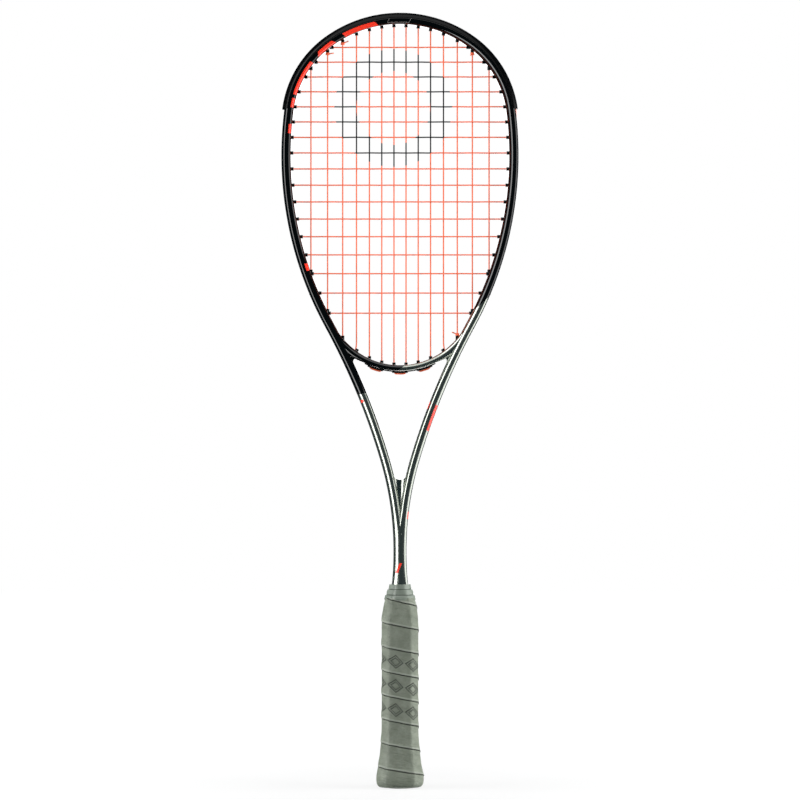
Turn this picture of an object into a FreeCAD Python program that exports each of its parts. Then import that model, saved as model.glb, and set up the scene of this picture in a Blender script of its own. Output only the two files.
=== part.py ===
"""Squash racket: a moulded carbon hairpin frame with a bonded throat bridge, nylon bumper and grommet strips,
two woven strings, and a foam handle with a butt cap under a spirally wound grip.

Millimetres. +Z runs from the butt (origin, middle of the butt's flat end) to the head's tip, +X across the
string bed, +Y out of the back of the string bed. One STEP file per piece is written to parts/.
"""

import FreeCAD
import Part
import math
import os
from FreeCAD import Placement, Rotation, Vector

# ---------------------------------------------------------------- driving dimensions
LENGTH = 686.0  # butt to the bumper's outer face: the 27 inch maximum, less a little
BUMPER_THICKNESS = 2.0
TUBE_WIDTH = 8.4  # in the plane of the strings
TUBE_DEPTH = 18.0  # across the plane of the strings
TUBE_WALL = 1.3
CHANNEL_WIDTH = 5.2  # the groove round the head's outside, which takes the grommet strips
CHANNEL_DEPTH = 2.2
HALF = TUBE_WIDTH / 2

# The hairpin's centreline as (radius, turn in degrees) from the tip down the right side. A negative turn
# bends outwards, and a radius of None is a straight of that length.
HEAD_ARCS = [(107.0, 36.2), (87.3, 46.4), (313.0, 35.6)]
THROAT_ARCS = [(None, 5.7), (612.0, -11.85), (283.4, -16.35)]
SHAFT_ARCS = [(None, 4.0), (230.0, -5.9), (230.0, 5.9)]
LEG_END_Z = 4.0  # the tubes stop just above the butt cap's floor
HOOP_END_Z = 364.0  # the head hoop's ends, just under the bridge

BRIDGE_INNER_RADIUS = 65.6  # the head opening's lower end
BRIDGE_WIDTH = 5.2
BRIDGE_DEPTH = 16.0
BRIDGE_WALL = 1.2
BRIDGE_SWEEP = 54.0  # degrees each side of the middle
BRIDGE_LOW_INNER_Z = 374.1
BRIDGE_CAVITY_SWEEP = 30.0
MIDDLE_WALL = 0.9  # each leg's flat wall where the two meet in the shaft
GUSSET_RADIUS = 2.7
GUSSET_DEPTH = 12.0

FIT = 0.05  # the gap left where one moulding sits on another part
RIB_PLAY = 0.1  # how much narrower than the channel each side of a rib or strip is
STRIP_FLOOR = 0.85  # the side strips' thickness
BUMPER_GROOVE_DEPTH = 0.2  # how far the bumper's string groove goes below the tube's outer side
STRIP_THICKNESS = 1.1  # the throat's grommet strip, under the bridge
STRIP_WIDTH = 6.8
STRIP_SWEEP = 26.0
SADDLE_HEIGHT = 2.0  # the strip's raised seat under each string loop
SADDLE_WIDTH = 4.8

WEB_TOP_Z = 272.6
WEB_CROTCH_RADIUS = 6.2
WEB_DEPTH = 11.0
WEB_LOW_Z = 244.0
WEB_HALF_SPAN = 12.0

STRING_RADIUS = 0.6
WEAVE = 0.63  # how far a string's centreline swings out at each crossing
N_MAINS_HALF = 7
FIRST_MAIN_X = 5.35
N_CROSSES = 17
TOP_CROSS_Z = 655.7

KNOT_GAP = 0.02
KNOT_TURN_STEP = 1.15
KNOT_TAIL = 4.5

BARREL_RADIUS = 1.5
BARREL_BORE = 0.78
BARREL_PROUD = 2.0  # how far a grommet stands out of the frame's inner face
HOLE_RADIUS = 1.56
DRILL_REACH = 3.0  # how far a hole is drilled past both of its ends

CORNER_GROMMET_LENGTH = 11.0
BUMPER_END_TURN = 82.5  # heading, in degrees, at which the bumper stops on each side
STRIP_GAP = 1.0  # between the bumper's end and the side strip's

GRIP_THICKNESS = 1.8
GRIP_TOP_Z = 167.5
TAPE_TOP_Z = 180.0
PALLET_TOP_Z = 171.0
CAP_FLOOR = 2.6
CAP_WALL_TOP_Z = 26.0
CAP_WALL = 1.6
STAPLE_Z = 15.0
STAPLE_SPAN = 9.0
STAPLE_REACH = 5.0
STAPLE_WIRE = 0.7

Y_AXIS = Vector(0, 1, 0)
FAR = 400.0


# ---------------------------------------------------------------- the hairpin's centreline
class Rail:
    """A chain of tangent arcs and straights in the XZ plane. The heading is 0 along +X and 90 straight down,
    and the outward normal at a heading h is (sin h, cos h)."""

    def __init__(self, x, z, heading, chain):
        self.pieces = []
        start = 0.0
        for radius, turn in chain:
            h = math.radians(heading)
            if radius is None:
                piece = {"kind": "line", "x": x, "z": z, "h": h, "length": turn}
                x += turn * math.cos(h)
                z -= turn * math.sin(h)
            else:
                side = 1 if turn > 0 else -1
                cx = x - side * radius * math.sin(h)
                cz = z - side * radius * math.cos(h)
                piece = {"kind": "arc", "cx": cx, "cz": cz, "r": radius, "side": side, "h": h}
                piece["length"] = radius * abs(math.radians(turn))
                heading += turn
                h = math.radians(heading)
                x = cx + side * radius * math.sin(h)
                z = cz + side * radius * math.cos(h)
            piece["start"] = start
            start += piece["length"]
            self.pieces.append(piece)
        self.length = start
        self.end = (x, z, heading)

    def at(self, s, offset=0.0):
        """(x, z, heading in degrees) at a distance s along the centreline, moved outwards by offset."""
        piece = [p for p in self.pieces if s >= p["start"] - 1e-9][-1]
        run = s - piece["start"]
        if piece["kind"] == "line":
            h = piece["h"]
            x = piece["x"] + run * math.cos(h)
            z = piece["z"] - run * math.sin(h)
        else:
            h = piece["h"] + piece["side"] * run / piece["r"]
            x = piece["cx"] + piece["side"] * piece["r"] * math.sin(h)
            z = piece["cz"] + piece["side"] * piece["r"] * math.cos(h)
        return x + offset * math.sin(h), z + offset * math.cos(h), math.degrees(h)

    def find(self, value, low, high):
        """The distance between low and high at which value(s), which changes sign once, is zero."""
        rising = value(high) > value(low)
        for _ in range(50):
            middle = (low + high) / 2
            if (value(middle) > 0) == rising:
                high = middle
            else:
                low = middle
        return (low + high) / 2

    def where_z(self, z, offset=0.0):
        return self.find(lambda s: self.at(s, offset)[1] - z, 0.0, self.length)

    def where_x(self, x, offset, low, high):
        return self.find(lambda s: self.at(s, offset)[0] - x, low, high)

    def sweep(self, section, s0, s1):
        """The solid that a section, drawn with outward along Z in the YZ plane, makes from s0 to s1."""
        solids = []
        for p in self.pieces:
            low = max(s0, p["start"])
            high = min(s1, p["start"] + p["length"])
            if high - low < 1e-6:
                continue
            x, z, heading = self.at(low)
            face = section.copy()
            face.Placement = Placement(Vector(x, 0, z), Rotation(Y_AXIS, heading))
            if p["kind"] == "line":
                h = p["h"]
                run = Vector(math.cos(h), 0, -math.sin(h)) * (high - low)
                solids.append(face.extrude(run))
            else:
                turn = p["side"] * math.degrees((high - low) / p["r"])
                solids.append(face.revolve(Vector(p["cx"], 0, p["cz"]), Y_AXIS, turn))
        return joined(solids)


def joined(solids):
    solid = solids[0].fuse(solids[1:]) if len(solids) > 1 else solids[0]
    return solid.removeSplitter()


def mirrored(shape):
    return shape.mirror(Vector(0, 0, 0), Vector(1, 0, 0))


def both_sides(shape):
    return joined([shape, mirrored(shape)])


HOOP_TOP_Z = LENGTH - BUMPER_THICKNESS - HALF
straight_x, straight_z, straight_heading = Rail(0, HOOP_TOP_Z, 0, HEAD_ARCS + THROAT_ARCS + SHAFT_ARCS).end
RAIL = Rail(0, HOOP_TOP_Z, 0, HEAD_ARCS + THROAT_ARCS + SHAFT_ARCS + [(None, straight_z - LEG_END_Z)])
WIDEST = RAIL.find(lambda s: 90 - RAIL.at(s)[2], 0, RAIL.where_z(HOOP_END_Z))
HOOP_END = RAIL.where_z(HOOP_END_Z)
BUMPER_END = RAIL.find(lambda s: BUMPER_END_TURN - RAIL.at(s)[2], 0, WIDEST)
BRIDGE_CENTRE_Z = BRIDGE_LOW_INNER_Z + BRIDGE_INNER_RADIUS


# ---------------------------------------------------------------- sections, outward along Z in the YZ plane
def closed_face(points):
    """A flat face through (y, outward) points, where an (y, outward, "arc") entry is the middle of an arc."""
    place = [Vector(0, p[0], p[1]) for p in points]
    edges = []
    i = 0
    while i < len(points) - 1:
        if len(points[i + 1]) == 3:
            edges.append(Part.Arc(place[i], place[i + 1], place[i + 2]).toShape())
            i += 2
        else:
            edges.append(Part.LineSegment(place[i], place[i + 1]).toShape())
            i += 1
    return Part.Face(Part.Wire(edges))


def stadium(low, high, depth):
    """A section with flat sides at outward low and high, and round front and back noses."""
    middle = (low + high) / 2
    nose = (high - low) / 2
    flat = depth / 2 - nose
    return closed_face([(-flat, low), (flat, low), (depth / 2, middle, "arc"), (flat, high),
                        (-flat, high), (-depth / 2, middle, "arc"), (-flat, low)])


def tube_with_channel():
    """The head's section: a stadium with the grommet channel cut into its outer side."""
    flat = TUBE_DEPTH / 2 - HALF
    lip = CHANNEL_WIDTH / 2
    floor = HALF - CHANNEL_DEPTH
    return closed_face([(-flat, -HALF), (flat, -HALF), (TUBE_DEPTH / 2, 0, "arc"), (flat, HALF), (lip, HALF),
                        (lip, floor), (-lip, floor), (-lip, HALF), (-flat, HALF), (-TUBE_DEPTH / 2, 0, "arc"),
                        (-flat, -HALF)])


def bumper_section():
    """A cap over the tube's outer side, a rib that fills the channel, and a groove that hides the strings."""
    rib = CHANNEL_WIDTH / 2 - RIB_PLAY
    root = HALF - CHANNEL_DEPTH + FIT
    seat = HALF + FIT / 2
    bend = 4.9  # from here to the cap's edge the cap turns in over the tube's round nose
    cap = 6.4
    lip = HALF - 0.55
    side = cap + 0.15
    side_top = HALF + 0.7
    shoulder = 5.0
    outer = HALF + BUMPER_THICKNESS
    shoulder_top = outer - 0.1
    groove = 1.0
    groove_floor = HALF - BUMPER_GROOVE_DEPTH
    right = [(rib, root), (rib, seat), (bend, seat), (cap, lip), (side, side_top), (shoulder, shoulder_top),
             (groove, outer), (groove, groove_floor)]
    left = [(-across, up) for across, up in reversed(right)]
    return closed_face(left[-1:] + right + left)


def strip_section():
    """A flat strip on the channel's floor, under the strings."""
    edge = CHANNEL_WIDTH / 2 - RIB_PLAY
    low = HALF - CHANNEL_DEPTH + FIT
    high = low + STRIP_FLOOR
    return closed_face([(-edge, low), (edge, low), (edge, high), (-edge, high), (-edge, low)])


# Where a string's centreline lies: outwards of the tube's over the side strip and in the bumper's groove, and
# its radius round the bridge's centre over the saddles.
STRING_LIE = HALF - CHANNEL_DEPTH + STRIP_FLOOR + 2 * FIT + STRING_RADIUS
BUMPER_LIE = HALF - BUMPER_GROOVE_DEPTH + FIT + STRING_RADIUS
SADDLE_LIE = BRIDGE_INNER_RADIUS + BRIDGE_WIDTH + SADDLE_HEIGHT + STRING_RADIUS + 2 * FIT


# ---------------------------------------------------------------- where the strings run
def main_xs():
    """The right half's main strings, from the middle outwards: the spacing opens towards the side."""
    xs = [FIRST_MAIN_X]
    for j in range(N_MAINS_HALF - 1):
        xs.append(xs[-1] + 10.8 + 0.16 * j * j)
    return xs


def cross_zs():
    """The cross strings from the tip down: the spacing opens towards the throat."""
    zs = [TOP_CROSS_Z]
    for k in range(N_CROSSES - 1):
        zs.append(zs[-1] - 13.1 - 0.021 * k * k)
    return zs


MAIN_XS = main_xs()
CROSS_ZS = cross_zs()


def lie_at(s):
    """How far out of the centreline a string lies as it passes round the outside of the head."""
    return BUMPER_LIE if s < BUMPER_END else STRING_LIE


def top_hole(x):
    """(inner point, outer point, s at the outer end) of the hole that a main goes through at the tip."""
    s_in = RAIL.where_x(x, -HALF, 0, WIDEST)
    s_out = RAIL.where_x(x, BUMPER_LIE, 0, WIDEST)
    return (x, RAIL.at(s_in, -HALF)[1]), (x, RAIL.at(s_out, BUMPER_LIE)[1]), s_out


def side_hole(z):
    """The same for a cross, on the right side."""
    s_in = RAIL.where_z(z, -HALF)
    s_out = RAIL.where_z(z, lie_at(s_in))
    return (RAIL.at(s_in, -HALF)[0], z), (RAIL.at(s_out, lie_at(s_in))[0], z), s_out


def bridge_z(x, radius):
    return BRIDGE_CENTRE_Z - math.sqrt(radius * radius - x * x)


CORNER_EXIT_Z = 371.0  # where the fourth main comes out, after a slanting hole through the bridge's root


def low_hole(j):
    """The same for main j's lower end on the right: through the bridge, or out of the hoop's side."""
    x = MAIN_XS[j]
    if j < 3:
        return (x, bridge_z(x, BRIDGE_INNER_RADIUS)), (x, bridge_z(x, SADDLE_LIE)), None
    if j == 3:
        s = RAIL.where_z(CORNER_EXIT_Z, STRING_LIE)
        px, pz, _ = RAIL.at(s, STRING_LIE)
        return (x, bridge_z(x, BRIDGE_INNER_RADIUS)), (px, pz), s
    s_in = RAIL.where_x(x, -HALF, WIDEST, HOOP_END)
    z_in = RAIL.at(s_in, -HALF)[1]
    if j == 4:
        z_in = bridge_z(x, BRIDGE_INNER_RADIUS)
    s_out = RAIL.where_x(x, STRING_LIE, WIDEST, HOOP_END)
    return (x, z_in), (x, RAIL.at(s_out, STRING_LIE)[1]), s_out


def rod(a, b, radius, before=0.0, after=0.0):
    """A cylinder from a to b, which are (x, z) points of the string plane, run on past both ends."""
    start = Vector(a[0], 0, a[1])
    along = Vector(b[0], 0, b[1]) - start
    length = along.Length
    along.normalize()
    return Part.makeCylinder(radius, length + before + after, start - along * before, along)


def mirrored_hole(hole):
    (ax, az), (bx, bz), s = hole
    return (-ax, az), (-bx, bz), s


TOP_HOLES = [top_hole(x) for x in MAIN_XS]
SIDE_HOLES = [side_hole(z) for z in CROSS_ZS]
LOW_HOLES = [low_hole(j) for j in range(N_MAINS_HALF)]


# ---------------------------------------------------------------- frame
def drill(shape, holes, radius):
    """Bores a hole at each string hole of the right half, and at its twin on the left."""
    tools = [rod(a, b, radius, DRILL_REACH, DRILL_REACH) for a, b, _ in holes]
    tools += [mirrored(t) for t in tools]
    return shape.cut(tools)


def head_hoop():
    outer = RAIL.sweep(tube_with_channel(), 0, HOOP_END)
    inner_high = HALF - CHANNEL_DEPTH - TUBE_WALL
    cavity = RAIL.sweep(stadium(TUBE_WALL - HALF, inner_high, TUBE_DEPTH - 2 * TUBE_WALL), 0, HOOP_END)
    hoop = both_sides(outer.cut(cavity))
    return drill(hoop, TOP_HOLES + SIDE_HOLES + LOW_HOLES[3:], HOLE_RADIUS)


def leg(right=True):
    """A hairpin tube below the bridge. In the shaft it turns D-shaped and lies against its twin at x = 0."""
    outer = RAIL.sweep(stadium(-HALF, HALF, TUBE_DEPTH), HOOP_END, RAIL.length)
    inner = HALF - TUBE_WALL
    cavity = RAIL.sweep(stadium(-inner, inner, TUBE_DEPTH - 2 * TUBE_WALL), HOOP_END, RAIL.length)
    right_side = Part.makeBox(FAR, FAR, FAR, Vector(0, -FAR / 2, 0))
    past_wall = Part.makeBox(FAR, FAR, FAR, Vector(MIDDLE_WALL, -FAR / 2, -1))
    solid = outer.common(right_side).cut(cavity.common(past_wall)).removeSplitter()
    return solid if right else mirrored(solid)


def frame_outer():
    """The hairpin's filled outer shape, which neighbours are cut back to."""
    half = RAIL.sweep(stadium(-HALF, HALF, TUBE_DEPTH), 0, RAIL.length)
    return both_sides(half)


def bridge_body(low, high, depth, sweep):
    """A curved bar under the head opening, between two radii about the bridge's centre."""
    face = stadium(low, high, depth)
    face.Placement = Placement(Vector(0, 0, BRIDGE_CENTRE_Z), Rotation(Y_AXIS, 180 - sweep))
    return face.revolve(Vector(0, 0, BRIDGE_CENTRE_Z), Y_AXIS, 2 * sweep)


def gusset():
    """The rounded corner between the bridge's underside and the leg."""
    arc = [p for p in RAIL.pieces if p["kind"] == "arc" and p["side"] < 0][0]
    r1 = arc["r"] + HALF + GUSSET_RADIUS
    r2 = BRIDGE_INNER_RADIUS + BRIDGE_WIDTH + GUSSET_RADIUS
    c1 = Vector(arc["cx"], 0, arc["cz"])
    c2 = Vector(0, 0, BRIDGE_CENTRE_Z)
    line = c2 - c1
    apart = line.Length
    line.normalize()
    along = (r1 * r1 - r2 * r2 + apart * apart) / (2 * apart)
    up = math.sqrt(r1 * r1 - along * along)
    side = Vector(line.z, 0, -line.x)
    centre = min((c1 + line * along + side * up * k for k in (1, -1)), key=lambda p: p.z)
    on_leg = centre + (c1 - centre).normalize() * (GUSSET_RADIUS + 0.8)
    on_bridge = centre + (c2 - centre).normalize() * (GUSSET_RADIUS + 0.8)
    corner = (on_leg + on_bridge) * 0.5
    corner = corner + (corner - centre) * 1.2
    half = Vector(0, GUSSET_DEPTH / 2, 0)
    outline = [centre - half, on_leg - half, corner - half, on_bridge - half, centre - half]
    block = Part.Face(Part.makePolygon(outline)).extrude(half * 2)
    return block.cut(Part.makeCylinder(GUSSET_RADIUS, GUSSET_DEPTH + 2, centre - half * 1.1, Y_AXIS))


def throat_bridge(frame):
    low = BRIDGE_INNER_RADIUS
    high = low + BRIDGE_WIDTH
    bar = bridge_body(low, high, BRIDGE_DEPTH, BRIDGE_SWEEP)
    corner = gusset()
    bar = joined([bar, corner, mirrored(corner)]).cut(frame)
    bar = max(bar.Solids, key=lambda s: s.Volume)
    cavity_depth = BRIDGE_DEPTH - 2 * BRIDGE_WALL
    cavity = bridge_body(low + BRIDGE_WALL, high - BRIDGE_WALL, cavity_depth, BRIDGE_CAVITY_SWEEP)
    return drill(bar.cut(cavity), LOW_HOLES[:5], HOLE_RADIUS)


def throat_web(frame):
    """The filler that closes the narrow end of the throat, between the two legs."""
    height = WEB_TOP_Z + WEB_CROTCH_RADIUS - WEB_LOW_Z
    corner = Vector(-WEB_HALF_SPAN, -WEB_DEPTH / 2, WEB_LOW_Z)
    block = Part.makeBox(2 * WEB_HALF_SPAN, WEB_DEPTH, height, corner)
    centre = Vector(0, -WEB_DEPTH, WEB_TOP_Z + WEB_CROTCH_RADIUS)
    crotch = Part.makeCylinder(WEB_CROTCH_RADIUS, 2 * WEB_DEPTH, centre, Y_AXIS)
    web = block.cut([frame, crotch])
    return min(web.Solids, key=lambda s: abs(s.CenterOfMass.x))


# ---------------------------------------------------------------- bumper and grommet strips
def grommets(holes, floor_gap):
    """Barrels to just inside the head at the holes of the right half, from floor_gap under the strings."""
    return [rod(a, b, BARREL_RADIUS, BARREL_PROUD, -STRING_RADIUS - floor_gap) for a, b, _ in holes]


def bumper_guard():
    cap = both_sides(RAIL.sweep(bumper_section(), 0, BUMPER_END))
    holes = TOP_HOLES + [h for h in SIDE_HOLES if h[2] < BUMPER_END]
    barrels = grommets(holes, 0.5)
    barrels += [mirrored(b) for b in barrels]
    return drill(joined([cap] + barrels), holes, BARREL_BORE)


def side_strip(right=True):
    start = BUMPER_END + STRIP_GAP
    strip = RAIL.sweep(strip_section(), start, HOOP_END - 1.0)
    holes = [h for h in SIDE_HOLES if h[2] >= BUMPER_END] + LOW_HOLES[4:]
    solid = joined([strip] + grommets(holes, 0.3))
    tools = [rod(a, b, BARREL_BORE, DRILL_REACH, 2) for a, b, _ in holes + LOW_HOLES[3:4]]
    solid = solid.cut(tools)
    return solid if right else mirrored(solid)


def corner_grommets():
    """The two short grommets at the bridge's roots, where the strings slant out through the hoop."""
    inner, outer, _ = LOW_HOLES[3]
    share = CORNER_GROMMET_LENGTH / math.dist(inner, outer)
    end = (inner[0] + (outer[0] - inner[0]) * share, inner[1] + (outer[1] - inner[1]) * share)
    barrel = rod(inner, end, BARREL_RADIUS, BARREL_PROUD)
    barrel = barrel.cut(rod(inner, end, BARREL_BORE, DRILL_REACH, DRILL_REACH))
    return Part.makeCompound([barrel, mirrored(barrel)])


def throat_strip():
    """A strip under the bridge, with a raised saddle under each string loop and a barrel at each hole."""
    base = BRIDGE_INNER_RADIUS + BRIDGE_WIDTH + FIT
    top = base + STRIP_THICKNESS
    half = STRIP_WIDTH / 2
    face = closed_face([(-half, base), (half, base), (half, top), (-half, top), (-half, base)])
    face.Placement = Placement(Vector(0, 0, BRIDGE_CENTRE_Z), Rotation(Y_AXIS, 180 - STRIP_SWEEP))
    strip = face.revolve(Vector(0, 0, BRIDGE_CENTRE_Z), Y_AXIS, 2 * STRIP_SWEEP)
    low = base + STRIP_THICKNESS / 2
    high = base + SADDLE_HEIGHT
    foot = SADDLE_WIDTH / 2
    crown = SADDLE_WIDTH / 3
    rim = high - 0.4
    saddle_face = closed_face([(-foot, low), (foot, low), (foot, rim), (crown, high), (-crown, high),
                               (-foot, rim), (-foot, low)])
    half_turn = math.degrees((MAIN_XS[0] + BARREL_RADIUS) / base)
    saddles = []
    for middle in (0.0, math.degrees(math.asin((MAIN_XS[1] + MAIN_XS[2]) / 2 / base))):
        copy = saddle_face.copy()
        copy.Placement = Placement(Vector(0, 0, BRIDGE_CENTRE_Z), Rotation(Y_AXIS, 180 - middle - half_turn))
        saddles.append(copy.revolve(Vector(0, 0, BRIDGE_CENTRE_Z), Y_AXIS, 2 * half_turn))
    saddles.append(mirrored(saddles[1]))
    holes = LOW_HOLES[:3]
    barrels = grommets(holes, 0.4)
    barrels += [mirrored(b) for b in barrels]
    return drill(joined([strip] + saddles + barrels), holes, BARREL_BORE)


# ---------------------------------------------------------------- strings
def rounded_path(points):
    """Straight runs through the points, joined at each by the largest tangent arc that the runs allow."""
    edges = []
    last = points[0]
    for i in range(1, len(points) - 1):
        back = points[i - 1] - points[i]
        ahead = points[i + 1] - points[i]
        cut = 0.45 * min(back.Length, ahead.Length)
        bend = math.pi - back.getAngle(ahead)
        if bend < 1e-4:
            continue
        back.normalize()
        ahead.normalize()
        first = points[i] + back * cut
        second = points[i] + ahead * cut
        radius = cut / math.tan(bend / 2)
        inset = radius / math.cos(bend / 2) - radius
        middle = points[i] + (back + ahead).normalize() * inset
        edges.append(Part.LineSegment(last, first).toShape())
        edges.append(Part.Arc(first, middle, second).toShape())
        last = second
    edges.append(Part.LineSegment(last, points[-1]).toShape())
    return Part.Wire(edges)


def tube_along(points, radius):
    path = rounded_path(points)
    start = path.OrderedEdges[0]
    first = start.FirstParameter
    circle = Part.makeCircle(radius, start.valueAt(first), start.tangentAt(first))
    return path.makePipeShell([Part.Wire([circle])], True, False)


def outside_run(s0, s1, mirror=False):
    """Points along the head's outside from one hole to the next, in the channel."""
    steps = max(1, int(abs(s1 - s0) / 14))
    points = []
    for i in range(1, steps):
        s = s0 + (s1 - s0) * i / steps
        x, z, _ = RAIL.at(s, lie_at(s))
        points.append(Vector(-x if mirror else x, 0, z))
    return points


SWING = WEAVE / 0.55  # the rounding of the path takes 45% off a zigzag's corners


def main_run(j, mirror, downwards):
    """Main j of one half from its upper hole's outer end to its lower one's, or back."""
    x = -MAIN_XS[j] if mirror else MAIN_XS[j]
    top_in, top_out, _ = mirrored_hole(TOP_HOLES[j]) if mirror else TOP_HOLES[j]
    low_in, low_out, _ = mirrored_hole(LOW_HOLES[j]) if mirror else LOW_HOLES[j]
    number = N_MAINS_HALF - 1 - j if mirror else N_MAINS_HALF + j
    points = [Vector(top_out[0], 0, top_out[1]), Vector(top_in[0], 0, top_in[1])]
    for k, z in enumerate(CROSS_ZS):
        if low_in[1] + 4 < z < top_in[1] - 4:
            points.append(Vector(x, SWING * (1 if (k + number) % 2 else -1), z))
    points += [Vector(low_in[0], 0, low_in[1]), Vector(low_out[0], 0, low_out[1])]
    return points if downwards else points[::-1]


def cross_run(k, rightwards):
    inner, outer, _ = SIDE_HOLES[k]
    points = [Vector(-outer[0], 0, outer[1]), Vector(-inner[0], 0, inner[1])]
    for number in range(2 * N_MAINS_HALF):
        j = N_MAINS_HALF - 1 - number if number < N_MAINS_HALF else number - N_MAINS_HALF
        x = -MAIN_XS[j] if number < N_MAINS_HALF else MAIN_XS[j]
        if abs(x) < inner[0] - 4:
            points.append(Vector(x, SWING * (-1 if (k + number) % 2 else 1), CROSS_ZS[k]))
    points += [Vector(inner[0], 0, inner[1]), Vector(outer[0], 0, outer[1])]
    return points if rightwards else points[::-1]


def knot(hole, mirror, towards):
    """A tie-off knot just inside a grommet: two turns round the string, and a short cut tail."""
    (x, z), outer, _ = mirrored_hole(hole) if mirror else hole
    start = Vector(x, 0, z)
    inwards = (start - Vector(outer[0], 0, outer[1])).normalize()
    seat = start + inwards * (BARREL_PROUD + STRING_RADIUS)
    ring = 2 * STRING_RADIUS + KNOT_GAP
    turns = [Part.makeTorus(ring, STRING_RADIUS, seat + inwards * d, inwards) for d in (0.0, KNOT_TURN_STEP)]
    tail = Part.makeCylinder(0.9 * STRING_RADIUS, KNOT_TAIL, seat + inwards * 0.6 + towards * ring, towards)
    return joined(turns + [tail])


def string_knots():
    """The four tie-offs: both ends of the mains beside the second hole, and both ends of the crosses."""
    return Part.makeCompound([
        knot(TOP_HOLES[-2], True, Vector(0.95, -0.3, 0.08).normalize()),
        knot(TOP_HOLES[-2], False, Vector(-0.3, -0.9, -0.3).normalize()),
        knot(TOP_HOLES[-3], True, Vector(0.88, -0.3, 0.36).normalize()),
        knot(LOW_HOLES[-3], False, Vector(-0.8, -0.5, 0.3).normalize()),
    ])


def half_main_string(mirror):
    """One half's mains, from the loop at the middle of the throat outwards: 1 up, 2 down, 3 up and so on."""
    points = []
    for j in range(N_MAINS_HALF):
        if j:
            hole_pair = TOP_HOLES if j % 2 else LOW_HOLES
            before = hole_pair[j - 1]
            after = hole_pair[j]
            if before[2] is None or after[2] is None:
                side = -1 if mirror else 1
                middle = (before[1][0] + after[1][0]) / 2
                points.append(Vector(side * middle, 0, bridge_z(middle, SADDLE_LIE)))
            else:
                points += outside_run(before[2], after[2], mirror)
        points += main_run(j, mirror, downwards=bool(j % 2))
    return points


def main_string():
    """One length of string for all the mains, tied off at the second main's upper grommet on each side."""
    lowest = Vector(0, 0, bridge_z(0, SADDLE_LIE))
    points = half_main_string(True)[::-1] + [lowest] + half_main_string(False)
    for mirror in (True, False):
        ends = outside_run(TOP_HOLES[-1][2], TOP_HOLES[-2][2], mirror)
        points = ends[::-1] + points if mirror else points + ends
    return points


def cross_string():
    points = []
    for k in range(N_CROSSES):
        rightwards = k % 2 == 0
        if k:
            points += outside_run(SIDE_HOLES[k - 1][2], SIDE_HOLES[k][2], mirror=rightwards)
        points += cross_run(k, rightwards)
    start = outside_run(TOP_HOLES[-3][2], SIDE_HOLES[0][2], True)
    finish = outside_run(SIDE_HOLES[-1][2], LOW_HOLES[-3][2], False)
    return start + points + finish


# ---------------------------------------------------------------- handle
# Half-width across X of the finished grip at heights from the butt up; the half-depth is in proportion.
GRIP_PROFILE = [(2.2, 20.6), (7.0, 21.8), (12.0, 21.2), (20.0, 19.4), (31.0, 18.2), (46.0, 16.9),
                (70.0, 16.75), (145.0, 16.75), (155.0, 16.1), (163.0, 14.6), (171.0, 12.3), (180.0, 9.2)]
CAP_RIM = [(0.0, 17.6), (0.9, 19.4), (2.1, 20.5)]  # the butt cap's rounded rim: height and half-width
DEPTH_SHARE = 0.84  # the handle's depth over its width
LEAST_HALF_DEPTH = TUBE_DEPTH / 2 + 1.0  # so that the neck still covers the shaft's tubes
BEVEL = 0.42  # the part of each half-width that the octagon's bevel takes


def octagon(z, half_x, half_y):
    bevel_x = half_x * (1 - BEVEL)
    bevel_y = half_y * (1 - BEVEL)
    corners = [(half_x, bevel_y), (bevel_x, half_y), (-bevel_x, half_y), (-half_x, bevel_y),
               (-half_x, -bevel_y), (-bevel_x, -half_y), (bevel_x, -half_y), (half_x, -bevel_y)]
    points = [Vector(x, y, z) for x, y in corners]
    return Part.makePolygon(points + points[:1])


def grip_half(z):
    """The finished grip's half-width at a height, between the profile's points."""
    for (z0, w0), (z1, w1) in zip(GRIP_PROFILE, GRIP_PROFILE[1:]):
        if z <= z1:
            return w0 + (w1 - w0) * (z - z0) / (z1 - z0)
    return GRIP_PROFILE[-1][1]


def handle_body(inset, low, high):
    """The handle's flared octagon from low to high, its surface set in from the finished grip's."""
    heights = [low] + [z for z, _ in GRIP_PROFILE if low + 1.5 < z < high - 1.5] + [high]
    wires = []
    for z in heights:
        half = grip_half(max(z, GRIP_PROFILE[0][0]))
        wires.append(octagon(z, half - inset, max(half * DEPTH_SHARE, LEAST_HALF_DEPTH) - inset))
    return Part.makeLoft(wires, True, True)


def handle_pallet(front, legs):
    """Half of the foam handle, moulded to the two tubes and split in the plane of the strings."""
    body = handle_body(GRIP_THICKNESS, LEG_END_Z, PALLET_TOP_Z)
    half = Part.makeBox(80, 40, 200, Vector(-40, -40 if front else 0, 0))
    body = body.common(half)
    return body.cut([legs, butt_cap()])


def butt_cap():
    """A plastic cup over the handle's end, with a wider rim at its floor that the grip runs down to."""
    floor = Part.makeLoft([octagon(z, half, half * DEPTH_SHARE) for z, half in CAP_RIM], True, True)
    cup = handle_body(GRIP_THICKNESS, CAP_RIM[-1][0], CAP_WALL_TOP_Z)
    hollow = handle_body(GRIP_THICKNESS + CAP_WALL, CAP_FLOOR, CAP_WALL_TOP_Z + 0.1)
    return joined([floor, cup]).cut(hollow)


def grip_wrap():
    sleeve = handle_body(0, 2.2, GRIP_TOP_Z)
    return sleeve.cut(handle_body(GRIP_THICKNESS, 2.0, GRIP_TOP_Z + 0.1))


def finishing_tape(legs):
    """The tape that holds the grip's upper end, stepping down on to the shaft."""
    outer = handle_body(0, GRIP_TOP_Z, TAPE_TOP_Z)
    below = handle_body(GRIP_THICKNESS, GRIP_TOP_Z - 0.1, PALLET_TOP_Z)
    return outer.cut([below, legs])


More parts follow.
